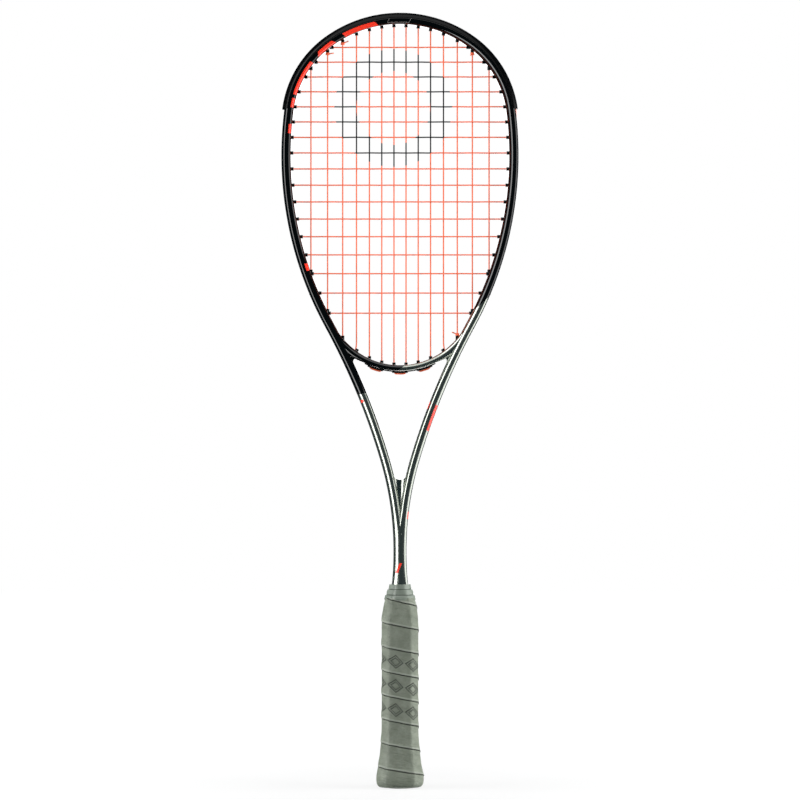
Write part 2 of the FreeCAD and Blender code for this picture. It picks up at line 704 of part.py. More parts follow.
def staples():
    """Two wire staples that pin the butt cap and the grip's first turn to the pallets."""
    wire = STAPLE_WIRE
    found = []
    for side in (1, -1):
        seat = side * (grip_half(STAPLE_Z) * DEPTH_SHARE - GRIP_THICKNESS)
        crown = Part.makeBox(STAPLE_SPAN, wire, wire, Vector(-STAPLE_SPAN / 2, -wire / 2, -wire / 2))
        prongs = []
        for x in (-STAPLE_SPAN / 2, STAPLE_SPAN / 2 - wire):
            prongs.append(Part.makeBox(wire, STAPLE_REACH, wire, Vector(x, -STAPLE_REACH, -wire / 2)))
        staple = joined([crown] + prongs)
        turn = Rotation(Vector(0, 0, 1), 0 if side > 0 else 180)
        staple.Placement = Placement(Vector(0, seat, STAPLE_Z), turn)
        found.append(staple)
    return found


def main():
    os.makedirs("parts", exist_ok=True)
    frame = frame_outer()
    legs = [leg(True), leg(False)]
    filled_legs = frame.common(Part.makeBox(60, 60, 300, Vector(-30, -30, 0)))
    cap = butt_cap()
    pins = staples()
    nodes = {
        "head_hoop": head_hoop(),
        "leg_right": legs[0],
        "leg_left": legs[1],
        "throat_bridge": throat_bridge(frame),
        "throat_web": throat_web(frame),
        "bumper_guard": bumper_guard(),
        "side_grommet_strip_right": side_strip(True),
        "side_grommet_strip_left": side_strip(False),
        "throat_grommet_strip": throat_strip(),
        "corner_grommets": corner_grommets(),
        "main_string": tube_along(main_string(), STRING_RADIUS),
        "cross_string": tube_along(cross_string(), STRING_RADIUS),
        "string_knots": string_knots(),
        "handle_pallet_front": handle_pallet(True, filled_legs).cut(pins),
        "handle_pallet_rear": handle_pallet(False, filled_legs).cut(pins),
        "butt_cap": cap.cut(pins),
        "butt_cap_staples": Part.makeCompound(pins),
        "grip_wrap": grip_wrap().cut(pins),
        "finishing_tape": finishing_tape(filled_legs),
    }
    for name, shape in nodes.items():
        shape.exportStep(f"parts/{name}.step")
        solids = shape.Solids
        print(f"{name}: {len(solids)} solids, valid {shape.isValid()}, {shape.Volume / 1000:.2f} cm3")


if __name__ == "__main__":
    main()
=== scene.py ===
import math

import bmesh
import bpy
from mathutils import Matrix, Vector


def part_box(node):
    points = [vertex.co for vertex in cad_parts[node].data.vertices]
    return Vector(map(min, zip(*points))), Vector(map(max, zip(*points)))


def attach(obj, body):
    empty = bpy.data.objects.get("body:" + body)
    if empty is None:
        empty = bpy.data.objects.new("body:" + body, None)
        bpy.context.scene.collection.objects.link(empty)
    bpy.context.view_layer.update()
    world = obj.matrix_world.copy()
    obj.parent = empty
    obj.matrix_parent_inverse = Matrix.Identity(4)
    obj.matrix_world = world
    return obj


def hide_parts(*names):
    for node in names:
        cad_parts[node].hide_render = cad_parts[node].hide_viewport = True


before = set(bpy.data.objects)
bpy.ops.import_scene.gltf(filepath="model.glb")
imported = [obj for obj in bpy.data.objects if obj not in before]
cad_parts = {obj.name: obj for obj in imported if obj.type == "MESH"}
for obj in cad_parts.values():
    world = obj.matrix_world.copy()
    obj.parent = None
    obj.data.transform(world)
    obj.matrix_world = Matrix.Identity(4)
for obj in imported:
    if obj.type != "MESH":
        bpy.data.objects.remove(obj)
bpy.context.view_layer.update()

# ---------------------------------------------------------------- studio
# The racket stands upright on its butt on a pale floor, square on to a long lens. Strips and panels stand in
# the tubes' reflections, and washes from the sides light the matt grip and strings.
LENS = 150
SENSOR = 36
PICTURE_WIDTH = 0.7092  # metres, in the plane of the strings
EYE_HEIGHT = 0.3431
AIM = Vector((0, 0, 0.35))  # the racket's middle, which every light faces
SKY_SEEN = (1, 1, 1, 1)  # the backdrop as the camera sees it
SKY_FELT = (0.003, 0.016, 0.021, 1)  # and as the racket reflects it, a dim room
FLOOR_REACH = 3.0
FLOOR_GAP = 0.0004  # the floor lies this far under the butt
FLOOR_PAPER = (0.22, 0.22, 0.22, 1)
FLOOR_GLOW = (0.8, 1.0)  # near the butt and far from it
FLOOR_FADE = (0.1, 0.7)  # how far from the butt the glow starts to rise, and where it is full

scene = bpy.context.scene
scene.view_settings.view_transform = "Standard"

camera_data = bpy.data.cameras.new("camera")
camera_data.lens = LENS
camera_data.sensor_width = SENSOR
camera = bpy.data.objects.new("camera", camera_data)
camera.location = (0, -PICTURE_WIDTH * LENS / SENSOR, EYE_HEIGHT)
camera.rotation_euler = (math.radians(90), 0, 0)
scene.collection.objects.link(camera)
scene.camera = camera


def softbox(name, azimuth, height, distance, wide, tall, brightness, glossy=True, matt=True):
    """A rectangular light that faces the racket. Azimuth is in degrees from the front, positive to the right.
    It lights glossy surfaces, matt ones, or both."""
    data = bpy.data.lights.new(name, "AREA")
    data.shape = "RECTANGLE"
    data.size = wide
    data.size_y = tall
    data.energy = brightness * math.pi * wide * tall
    lamp = bpy.data.objects.new(name, data)
    turn = math.radians(azimuth)
    lamp.location = (distance * math.sin(turn), -distance * math.cos(turn), height)
    lamp.rotation_euler = (AIM - lamp.location).to_track_quat("-Z", "Y").to_euler()
    lamp.visible_camera = False
    lamp.visible_glossy = glossy
    lamp.visible_diffuse = matt
    scene.collection.objects.link(lamp)


softbox("strip_left", -43, 0.35, 1.5, 0.58, 3.4, 3.4, matt=False)
softbox("panel_right", 82, -0.1, 1.5, 1.15, 2.6, 1.5, matt=False)
softbox("strip_back", 172, 0.35, 1.5, 0.7, 3.4, 2.2, matt=False)
softbox("overhead", 0, 1.65, 0.9, 1.7, 1.9, 1.0)
softbox("wash_left", -80, 0.35, 1.5, 1.1, 2.4, 4.6, glossy=False)
softbox("wash_right", 80, 0.35, 1.5, 1.1, 2.4, 5.2, glossy=False)
softbox("wash_back", 170, 0.6, 1.5, 1.1, 1.6, 1.2, glossy=False)

world = bpy.data.worlds.new("studio")
scene.world = world
world.use_nodes = True
links = world.node_tree.links
nodes = world.node_tree.nodes
nodes.clear()
sky_seen = nodes.new("ShaderNodeBackground")
sky_seen.inputs["Color"].default_value = SKY_SEEN
sky_felt = nodes.new("ShaderNodeBackground")
sky_felt.inputs["Color"].default_value = SKY_FELT
sight = nodes.new("ShaderNodeLightPath")
mix = nodes.new("ShaderNodeMixShader")
out = nodes.new("ShaderNodeOutputWorld")
links.new(sight.outputs["Is Camera Ray"], mix.inputs["Fac"])
links.new(sky_felt.outputs[0], mix.inputs[1])
links.new(sky_seen.outputs[0], mix.inputs[2])
links.new(mix.outputs[0], out.inputs["Surface"])

bm = bmesh.new()
bmesh.ops.create_grid(bm, x_segments=1, y_segments=1, size=FLOOR_REACH)
bmesh.ops.translate(bm, verts=bm.verts, vec=(0, 0, -FLOOR_GAP))
floor_mesh = bpy.data.meshes.new("floor")
bm.to_mesh(floor_mesh)
bm.free()
floor = bpy.data.objects.new("floor", floor_mesh)
scene.collection.objects.link(floor)

# Only the camera sees the floor, nearly white with a soft shadow near the butt. The polished tubes see past
# it to the lights, whose panels reach as far down as up.
floor_material = bpy.data.materials.new("pale_floor")
floor_material.use_nodes = True
nodes = floor_material.node_tree.nodes
links = floor_material.node_tree.links
nodes.remove(nodes["Principled BSDF"])
paper = nodes.new("ShaderNodeBsdfDiffuse")
paper.inputs["Color"].default_value = FLOOR_PAPER
glow = nodes.new("ShaderNodeEmission")
clear = nodes.new("ShaderNodeBsdfTransparent")
place = nodes.new("ShaderNodeTexCoord")
reach = nodes.new("ShaderNodeVectorMath")
reach.operation = "LENGTH"
fade = nodes.new("ShaderNodeMapRange")
fade.inputs["From Min"].default_value, fade.inputs["From Max"].default_value = FLOOR_FADE
fade.inputs["To Min"].default_value, fade.inputs["To Max"].default_value = FLOOR_GLOW
links.new(place.outputs["Object"], reach.inputs[0])
links.new(reach.outputs["Value"], fade.inputs["Value"])
links.new(fade.outputs["Result"], glow.inputs["Strength"])
both = nodes.new("ShaderNodeAddShader")
links.new(paper.outputs[0], both.inputs[0])
links.new(glow.outputs[0], both.inputs[1])
sight = nodes.new("ShaderNodeLightPath")
mix = nodes.new("ShaderNodeMixShader")
links.new(sight.outputs["Is Camera Ray"], mix.inputs["Fac"])
links.new(clear.outputs[0], mix.inputs[1])
links.new(both.outputs[0], mix.inputs[2])
links.new(mix.outputs[0], nodes["Material Output"].inputs["Surface"])
floor_mesh.materials.append(floor_material)


# ---------------------------------------------------------------- hairpin frame
# One carbon tube, bent from the handle up round the head and back down, lacquered gloss black on the head and
# pale green metallic on the throat and shaft. A channel round the head's outside takes the grommet strips.
TUBE_HALF = 0.0042  # half the tube's width in the plane of the strings
TUBE_DEPTH = 0.018
CHANNEL_HALF = 0.0026
CHANNEL_DEPTH = 0.0022
CHANNEL_END = (0.384, 0.392)  # the channel fades out between these distances round from the tip
CHANNEL_LIP = 0.12  # the flat beside each edge of the channel, as a share of its half width
CHANNEL_TAPER = 0.03  # how much narrower its floor is on each side, as a share of its half width
BUMPER_PROUD = 0.002  # how far the bumper stands out of the tube at the tip
TIP_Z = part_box("bumper_guard")[1].z - BUMPER_PROUD - TUBE_HALF
# From the tip down one side: a radius and the turn in degrees, outwards if negative, or None and a length.
HAIRPIN = [(0.107, 36.2), (0.0873, 46.4), (0.313, 35.6), (None, 0.0057), (0.612, -11.85), (0.2834, -16.35),
           (None, 0.004), (0.23, -5.9), (0.23, 5.9)]
HANDLE_END_Z = 0.004
HEAD_LEAN = 0.0006  # how far the front and back noses' crests lie outwards of the middle on the head
THROAT_LEAN = -0.0006
LEAN_CHANGE = (0.34, 0.42)
MERGING = (0.510, 0.540)  # between these the two tubes' crests draw together into the shaft's single nose
TUBE_FACETS = 44
WELD = 2e-6  # corners closer than this on the racket's middle plane are joined
HEAD_ROW = 0.0025  # the length of a row of faces on the bends
SHAFT_ROW = 0.02  # and on the straight shaft


def new_mesh_object(name, bm, crease=40):
    """An object from a bmesh, smooth except where its faces meet at more than crease degrees."""
    mesh = bpy.data.meshes.new(name)
    bm.to_mesh(mesh)
    bm.free()
    mesh.shade_smooth()
    mesh.set_sharp_from_angle(angle=math.radians(crease))
    thing = bpy.data.objects.new(name, mesh)
    scene.collection.objects.link(thing)
    return thing


def soft_step(value, low, high):
    share = min(1.0, max(0.0, (value - low) / (high - low)))
    return share * share * (3 - 2 * share)


def nosed_ring(bm, half, depth, facets):
    """A closed ring in the YZ plane, with flat sides at half above and below the origin and round noses
    along Y."""
    turn = Matrix.Rotation(math.radians(90), 4, "Y") @ Matrix.Rotation(math.pi / facets, 4, "Z")
    ring = bmesh.ops.create_circle(bm, segments=facets, radius=half, matrix=turn)["verts"]
    flat = depth / 2 - half
    for corner in ring:
        corner.co.y += math.copysign(flat, corner.co.y)
    return ring


def extrude_ring(bm, ring):
    """Adds a row of faces to a ring of edges. Its far corners and edges are returned, still in place."""
    made = bmesh.ops.extrude_edge_only(bm, edges=ring)["geom"]
    corners = [part for part in made if isinstance(part, bmesh.types.BMVert)]
    return corners, [part for part in made if isinstance(part, bmesh.types.BMEdge) and part.is_boundary]


def drag(bm, ring, place, moves, spacing):
    """Drags a ring of edges through the moves from place, which is (x, z, heading, run), a row of faces at a
    time. Each row's corners keep the row's heading and its run, and the last place is returned."""
    run_layer = bm.verts.layers.float["run"]
    heading_layer = bm.verts.layers.float["heading"]
    x, z, heading, run = place
    for radius, amount in moves:
        length = amount if radius is None else radius * abs(math.radians(amount))
        rows = math.ceil(length / spacing)
        side = 0 if radius is None else math.copysign(radius, amount)
        centre = Vector((x - side * math.sin(heading), 0, z - side * math.cos(heading)))
        turn = 0 if radius is None else math.radians(amount) / rows
        for _ in range(rows):
            corners, ring = extrude_ring(bm, ring)
            if radius is None:
                step = Vector((math.cos(heading), 0, -math.sin(heading))) * (length / rows)
                bmesh.ops.translate(bm, verts=corners, vec=step)
                x += step.x
                z += step.z
            else:
                bmesh.ops.rotate(bm, verts=corners, cent=centre, matrix=Matrix.Rotation(turn, 3, "Y"))
                heading += turn
                x = centre.x + side * math.sin(heading)
                z = centre.z + side * math.cos(heading)
            run += length / rows
            for corner in corners:
                corner[run_layer] = run
                corner[heading_layer] = heading
    return ring, (x, z, heading, run)


def lay_paint_map(bm):
    """A UV map of how far round the frame a point is, and how far outwards of the tube's middle."""
    run_layer = bm.verts.layers.float["run"]
    outward_layer = bm.verts.layers.float["outward"]
    paint_map = bm.loops.layers.uv.new("paint")
    for face in bm.faces:
        for corner in face.loops:
            corner[paint_map].uv = (corner.vert[run_layer], corner.vert[outward_layer])


bm = bmesh.new()
layers = {name: bm.verts.layers.float.new(name) for name in ("run", "heading", "outward", "lean", "channel")}
ring = nosed_ring(bm, TUBE_HALF, TUBE_DEPTH, TUBE_FACETS)
outer_edge = max(bm.edges, key=lambda edge: edge.calc_length() + sum(v.co.z for v in edge.verts))
beside = 1 + CHANNEL_LIP
within = 1 - CHANNEL_TAPER
lip_places = [(-beside, 0), (-1, 0), (-within, 1), (0, 1), (within, 1), (1, 0), (beside, 0)]
cut = bmesh.ops.subdivide_edges(bm, edges=[outer_edge], cuts=len(lip_places))["geom_inner"]
lip = sorted((part for part in cut if isinstance(part, bmesh.types.BMVert)), key=lambda part: part.co.y)
for corner, (share, sunk) in zip(lip, lip_places):
    corner.co.y = share * CHANNEL_HALF
    corner[layers["channel"]] = sunk
flat = TUBE_DEPTH / 2 - TUBE_HALF
for corner in bm.verts:
    height = corner.co.z / TUBE_HALF
    nose = max(0, abs(corner.co.y) - flat) / TUBE_HALF
    corner[layers["outward"]] = corner.co.z
    corner[layers["lean"]] = (1 - height * height) * nose
bmesh.ops.translate(bm, verts=bm.verts, vec=(0, 0, TIP_Z))
ring, shaft_end = drag(bm, list(bm.edges), (0, TIP_Z, 0, 0), HAIRPIN, HEAD_ROW)
drag(bm, ring, shaft_end, [(None, shaft_end[1] - HANDLE_END_Z)], SHAFT_ROW)
for corner in bm.verts:
    heading = corner[layers["heading"]]
    run = corner[layers["run"]]
    lean = HEAD_LEAN + (THROAT_LEAN - HEAD_LEAN) * soft_step(run, *LEAN_CHANGE)
    to_middle = corner[layers["outward"]] - corner.co.x / max(0.5, math.sin(heading))
    merged = soft_step(run, *MERGING)
    lean = lean * (1 - merged) + to_middle * merged
    sunk = CHANNEL_DEPTH * corner[layers["channel"]] * (1 - soft_step(run, *CHANNEL_END))
    outwards = Vector((math.sin(heading), 0, math.cos(heading)))
    corner.co += outwards * (lean * corner[layers["lean"]] - sunk)
bmesh.ops.bisect_plane(bm, geom=bm.verts[:] + bm.edges[:] + bm.faces[:], dist=1e-6, plane_co=(0, 0, 0),
                       plane_no=(1, 0, 0), clear_inner=True)
bmesh.ops.mirror(bm, geom=bm.verts[:] + bm.edges[:] + bm.faces[:], axis="X", merge_dist=WELD)
bmesh.ops.holes_fill(bm, edges=[edge for edge in bm.edges if edge.is_boundary and edge.verts[0].co.z < 0.2])
bmesh.ops.recalc_face_normals(bm, faces=bm.faces)
lay_paint_map(bm)
hairpin = new_mesh_object("frame_hairpin", bm)
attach(hairpin, "root")
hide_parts("head_hoop", "leg_left", "leg_right")


def add_node(tree, kind, values=None, **settings):
    """A shader node with its settings. Its inputs are given by number or name, each as a value or as another
    node's output."""
    node = tree.nodes.new("ShaderNode" + kind)
    for name, value in settings.items():
        setattr(node, name, value)
    for name, value in (values or {}).items():
        if isinstance(value, bpy.types.NodeSocket):
            tree.links.new(value, node.inputs[name])
        else:
            node.inputs[name].default_value = value
    return node


def figure(tree, operation, a, b=0.0, c=0.0):
    """One sum on shader values."""
    return add_node(tree, "Math", {0: a, 1: b, 2: c}, operation=operation).outputs[0]


def band(tree, value, low, high, soft):
    """1 where value lies between low and high, and 0 outside, with soft edges."""
    rise = add_node(tree, "MapRange", {0: value, 1: figure(tree, "SUBTRACT", low, soft), 2: low}).outputs[0]
    fall = add_node(tree, "MapRange", {0: value, 1: high, 2: figure(tree, "ADD", high, soft), 3: 1.0, 4: 0.0})
    return figure(tree, "MULTIPLY", rise, fall.outputs[0])


def blended(tree, share, first, second):
    """A colour between two others."""
    return add_node(tree, "Mix", {"Factor": share, 6: first, 7: second}, data_type="RGBA").outputs[2]


def new_material(name, rough, metal=0.0, coat=0.0, coat_rough=0.03):
    """A material with its tree and its shader, whose even values are set on the shader itself."""
    material = bpy.data.materials.new(name)
    material.use_nodes = True
    shader = material.node_tree.nodes["Principled BSDF"]
    shader.inputs["Roughness"].default_value = rough
    shader.inputs["Metallic"].default_value = metal
    shader.inputs["Coat Weight"].default_value = coat
    shader.inputs["Coat Roughness"].default_value = coat_rough
    return material, material.node_tree, shader


def new_effect(name, takes, gives):
    """A node group with named inputs and outputs: {name: (socket kind, value)} and {name: socket kind}."""
    group = bpy.data.node_groups.new(name, "ShaderNodeTree")
    for label, (kind, value) in takes.items():
        socket = group.interface.new_socket(label, in_out="INPUT", socket_type="NodeSocket" + kind)
        socket.default_value = value
    for label, kind in gives.items():
        group.interface.new_socket(label, in_out="OUTPUT", socket_type="NodeSocket" + kind)
    entry = group.nodes.new("NodeGroupInput")
    end = group.nodes.new("NodeGroupOutput")
    return group, entry, end


def use_effect(tree, group, values):
    node = tree.nodes.new("ShaderNodeGroup")
    node.node_tree = group
    for name, value in values.items():
        if isinstance(value, bpy.types.NodeSocket):
            tree.links.new(value, node.inputs[name])
        else:
            node.inputs[name].default_value = value
    return node


# The lacquer's own effects: a stripe with slanted ends laid round the frame, and fine metallic flake.
MASKING_SOFT = 0.00012  # how soft a masked edge of the paint is
stripe_effect, entry, end = new_effect(
    "slanted_stripe",
    {"Run": ("Float", 0), "Outward": ("Float", 0), "Start": ("Float", 0), "End": ("Float", 1),
     "Inner": ("Float", 0), "Outer": ("Float", 1), "Start Slant": ("Float", 0), "End Slant": ("Float", 0)},
    {"Mask": "Float"})
tree = stripe_effect
given = entry.outputs
start = figure(tree, "MULTIPLY_ADD", given["Outward"], given["Start Slant"], given["Start"])
stop = figure(tree, "MULTIPLY_ADD", given["Outward"], given["End Slant"], given["End"])
lengthwise = band(tree, given["Run"], start, stop, MASKING_SOFT)
crosswise = band(tree, given["Outward"], given["Inner"], given["Outer"], MASKING_SOFT)
tree.links.new(figure(tree, "MULTIPLY", lengthwise, crosswise), end.inputs["Mask"])

flake_effect, entry, end = new_effect(
    "metal_flake", {"Place": ("Vector", (0, 0, 0)), "Size": ("Float", 0.0003)}, {"Glint": "Float"})
tree = flake_effect
cells = figure(tree, "DIVIDE", 1.0, entry.outputs["Size"])
flakes = add_node(tree, "TexVoronoi", {"Vector": entry.outputs["Place"], "Scale": cells})
glint = add_node(tree, "SeparateColor", {"Color": flakes.outputs["Color"]}).outputs[0]
tree.links.new(glint, end.inputs["Glint"])

BLACK = (0.002, 0.002, 0.0022, 1)
SILVER = (0.60, 0.63, 0.555, 1)
SILVER_FLAKE = (0.53, 0.58, 0.52, 1)
RED = (0.98, 0.05, 0.025, 1)
RED_PAINTED_GLOW = 0.3  # painted light: the red glows to look brighter than the lamps make it
LABEL_INK = (0.25, 0.23, 0.22, 1)
LACQUER_GLOSS = (0.2, 0.0, 1.0, 0.025)  # roughness, metal, clear coat and the coat's roughness
FLAKE_SIZE = 0.00022
FLAKE_SHARE = 0.3
SILVER_METAL = 0.95
SILVER_ROUGHNESS = 0.12  # added to the black's
BLACK_ROUGHNESS = 0.08
SPLIT_SOFT = 0.0001  # half the width of the join between black and metallic
STRIPES_FRONT = -0.0045  # the stripes lie on the tube's front, before this depth
# Where the black ends on each side, round from the tip, and how much it slants with the outward place.
LEFT_SPLIT = (0.4028, 0.15)
RIGHT_SPLIT = (0.3135, 2.2)
# Red stripes as (left side, start, end, inner edge, outer edge, start's slant, end's slant).
STRIPES = [
    (True, 0.0235, 0.0535, -0.0037, -0.0006, 1.0, 0.5), (True, 0.0655, 0.0790, -0.0037, -0.0009, 1.0, -1.1),
    (True, 0.0915, 0.1240, -0.0037, -0.0014, 0.3, 0.0), (True, 0.1275, 0.1360, -0.0037, -0.0016, 0.0, 0.0),
    (True, 0.1510, 0.1592, -0.0037, -0.0018, 0.0, 0.0), (True, 0.2770, 0.2835, -0.0037, -0.0016, 0.0, 0.0),
    (False, 0.4120, 0.4360, 0.0022, 0.0037, 0.2, 0.2), (False, 0.4120, 0.4185, -0.009, -0.0034, 0.0, 0.0),
    (False, 0.5112, 0.5175, 0.0034, 0.009, 0.0, 0.0), (True, 0.4076, 0.4101, 0.0014, 0.0034, 0.0, 0.0),
]
# A plain outlined field at the tip: its start, end, inner edge, outer edge and slant, and its line's width.
LABEL = (-0.0098, 0.0098, -0.0030, 0.0010, 0.55)
LABEL_LINE = 0.00045
# A plain red slash low on the shaft: its middle, its half size, and its lean.
SLASH = (-0.0012, 0.1945, 0.0011, 0.0042, 0.42)
SLASH_SOFT = 0.00015


def lacquer(name):
    """Gloss lacquer in black and pale metallic with red stripes, read from the paint map laid round the
    frame."""
    material, tree, shader = new_material(name, *LACQUER_GLOSS)
    paint = add_node(tree, "SeparateXYZ", {0: add_node(tree, "UVMap", uv_map="paint").outputs[0]})
    run = paint.outputs[0]
    outward = paint.outputs[1]
    place = add_node(tree, "TexCoord").outputs["Object"]
    x, y, z = add_node(tree, "SeparateXYZ", {0: place}).outputs
    right = figure(tree, "GREATER_THAN", x, 0.0)
    left = figure(tree, "SUBTRACT", 1.0, right)
    silver = 0.0
    for side, (split, slant) in ((left, LEFT_SPLIT), (right, RIGHT_SPLIT)):
        leaning = figure(tree, "MULTIPLY_ADD", outward, slant, run)
        join = {0: leaning, 1: split - SPLIT_SOFT, 2: split + SPLIT_SOFT}
        past = add_node(tree, "MapRange", join).outputs[0]
        silver = figure(tree, "MULTIPLY_ADD", past, side, silver)
    red = 0.0
    for on_left, start, stop, inner, outer, start_slant, end_slant in STRIPES:
        mask = use_effect(tree, stripe_effect,
                          {"Run": run, "Outward": outward, "Start": start, "End": stop, "Inner": inner,
                           "Outer": outer, "Start Slant": start_slant, "End Slant": end_slant}).outputs[0]
        sided = figure(tree, "MULTIPLY", mask, left if on_left else right)
        red = figure(tree, "MAXIMUM", red, sided)
    mark_x, mark_z, mark_wide, mark_tall, mark_lean = SLASH
    up = figure(tree, "SUBTRACT", z, mark_z)
    across = figure(tree, "SUBTRACT", figure(tree, "MULTIPLY_ADD", up, -mark_lean, x), mark_x)
    slash = figure(tree, "MULTIPLY", band(tree, up, -mark_tall, mark_tall, SLASH_SOFT),
                   band(tree, across, -mark_wide, mark_wide, SLASH_SOFT))
    red = figure(tree, "MAXIMUM", red, slash)
    front = figure(tree, "LESS_THAN", y, STRIPES_FRONT)
    red = figure(tree, "MULTIPLY", red, front)
    across = figure(tree, "MULTIPLY", run, figure(tree, "MULTIPLY_ADD", right, 2.0, -1.0))
    start, stop, inner, outer, slant = LABEL
    fields = [use_effect(tree, stripe_effect,
                         {"Run": across, "Outward": outward, "Start": start + line, "End": stop - line,
                          "Inner": inner + line, "Outer": outer - line, "Start Slant": slant,
                          "End Slant": slant}).outputs[0] for line in (0.0, LABEL_LINE)]
    outline = figure(tree, "MULTIPLY", figure(tree, "SUBTRACT", *fields), front)
    flake = use_effect(tree, flake_effect, {"Place": place, "Size": FLAKE_SIZE}).outputs[0]
    toned = blended(tree, figure(tree, "MULTIPLY", flake, FLAKE_SHARE), SILVER, SILVER_FLAKE)
    colour = blended(tree, silver, BLACK, toned)
    colour = blended(tree, outline, colour, LABEL_INK)
    colour = blended(tree, red, colour, RED)
    tree.links.new(colour, shader.inputs["Base Color"])
    # The red stripes and slash glow with painted light.
    tree.links.new(blended(tree, red, (0, 0, 0, 1), RED), shader.inputs["Emission Color"])
    shader.inputs["Emission Strength"].default_value = RED_PAINTED_GLOW
    metal = figure(tree, "MULTIPLY", silver, figure(tree, "SUBTRACT", SILVER_METAL, red))
    tree.links.new(figure(tree, "MAXIMUM", metal, 0.0), shader.inputs["Metallic"])
    rough = figure(tree, "MULTIPLY_ADD", silver, SILVER_ROUGHNESS, BLACK_ROUGHNESS)
    tree.links.new(figure(tree, "MULTIPLY_ADD", flake, 0.01, rough), shader.inputs["Roughness"])
    return material


hairpin.data.materials.append(lacquer("hairpin_lacquer"))


# ---------------------------------------------------------------- throat bridge
# A second short carbon tube that closes the head's lower end, bonded into the hairpin and blended in with
# filler. It is lacquered with the frame: black on the left, pale metallic on the right, with a slanted join.
BRIDGE_RADIUS = 0.0656  # the head opening's lower end
BRIDGE_WIDTH = 0.0052
BRIDGE_DEPTH = 0.016
BRIDGE_LOW_Z = 0.3741
BRIDGE_SWEEP = 56  # degrees to each side of the middle
BRIDGE_FACETS = 36
BRIDGE_ROW = 0.0012
ROOT = (22, 38, 46, 55)  # degrees from the middle: the root starts to widen, is widest, and narrows again
ROOT_FLARE = 0.0016
CROTCH = Vector((0.0385, 0, 0.3771))  # the middle of the rounded corner under the root
CROTCH_RADIUS = 0.0027
CROTCH_DIRECTIONS = (-24.8, 121.6)  # degrees up from the right: towards the leg, and towards the bridge
FILLET_REACH = 1.7  # the filler's width, in crotch radii
FILLET_MIDDLE = 1.85  # how far its middle lies from the corner's, in crotch radii
FILLET_DEPTH = 0.0125
FILLET_ROUNDING = 0.0011
BRIDGE_SPLIT = (0.0013, 1.35)  # where the black ends, and how much it slants with height

bridge_centre = Vector((0, 0, BRIDGE_LOW_Z + BRIDGE_RADIUS))
bridge_middle = BRIDGE_RADIUS + BRIDGE_WIDTH / 2
bm = bmesh.new()
layers = {name: bm.verts.layers.float.new(name) for name in ("run", "heading", "outward")}
nosed_ring(bm, BRIDGE_WIDTH / 2, BRIDGE_DEPTH, BRIDGE_FACETS)
for corner in bm.verts:
    corner[layers["outward"]] = corner.co.z
start = math.radians(180 - BRIDGE_SWEEP)
bmesh.ops.rotate(bm, verts=bm.verts, cent=(0, 0, 0), matrix=Matrix.Rotation(start, 3, "Y"))
first_root = bridge_centre + Vector((math.sin(start), 0, math.cos(start))) * bridge_middle
bmesh.ops.translate(bm, verts=bm.verts, vec=first_root)
for corner in bm.verts:
    corner[layers["heading"]] = start
sweep = [(bridge_middle, 2 * BRIDGE_SWEEP)]
drag(bm, list(bm.edges), (first_root.x, first_root.z, start, 0), sweep, BRIDGE_ROW)
for corner in bm.verts:
    from_middle = abs(math.degrees(corner[layers["heading"]]) - 180)
    wider = soft_step(from_middle, ROOT[0], ROOT[1]) * (1 - soft_step(from_middle, ROOT[2], ROOT[3]))
    under = corner[layers["outward"]] / BRIDGE_WIDTH + 0.5
    heading = corner[layers["heading"]]
    corner.co += Vector((math.sin(heading), 0, math.cos(heading))) * ROOT_FLARE * wider * under
bmesh.ops.holes_fill(bm, edges=[edge for edge in bm.edges if edge.is_boundary])
bmesh.ops.recalc_face_normals(bm, faces=bm.faces)
bridge = new_mesh_object("throat_bridge_shell", bm)
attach(bridge, "root")
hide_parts("throat_bridge")


def split_lacquer(name, split, slant):
    """The frame's lacquer in black on the left and pale metallic on the right, split on a slant."""
    material, tree, shader = new_material(name, *LACQUER_GLOSS)
    place = add_node(tree, "TexCoord").outputs["Object"]
    x, y, z = add_node(tree, "SeparateXYZ", {0: place}).outputs
    height = figure(tree, "SUBTRACT", z, BRIDGE_LOW_Z - BRIDGE_WIDTH / 2)
    leaning = figure(tree, "MULTIPLY_ADD", height, -slant, x)
    silver = add_node(tree, "MapRange", {0: leaning, 1: split - SPLIT_SOFT, 2: split + SPLIT_SOFT}).outputs[0]
    flake = use_effect(tree, flake_effect, {"Place": place, "Size": FLAKE_SIZE}).outputs[0]
    toned = blended(tree, figure(tree, "MULTIPLY", flake, FLAKE_SHARE), SILVER, SILVER_FLAKE)
    tree.links.new(blended(tree, silver, BLACK, toned), shader.inputs["Base Color"])
    tree.links.new(figure(tree, "MULTIPLY", silver, SILVER_METAL), shader.inputs["Metallic"])
    rough = figure(tree, "MULTIPLY_ADD", silver, SILVER_ROUGHNESS, BLACK_ROUGHNESS)
    tree.links.new(rough, shader.inputs["Roughness"])
    return material


bridge_finish = split_lacquer("bridge_lacquer", *BRIDGE_SPLIT)
bridge.data.materials.append(bridge_finish)


def add_mirrored(bm, flip):
    """Adds a copy of the whole mesh, turned over by a scale of -1 on one axis."""
    copied = bmesh.ops.duplicate(bm, geom=bm.verts[:] + bm.edges[:] + bm.faces[:])["geom"]
    bmesh.ops.scale(bm, verts=[part for part in copied if isinstance(part, bmesh.types.BMVert)], vec=flip)


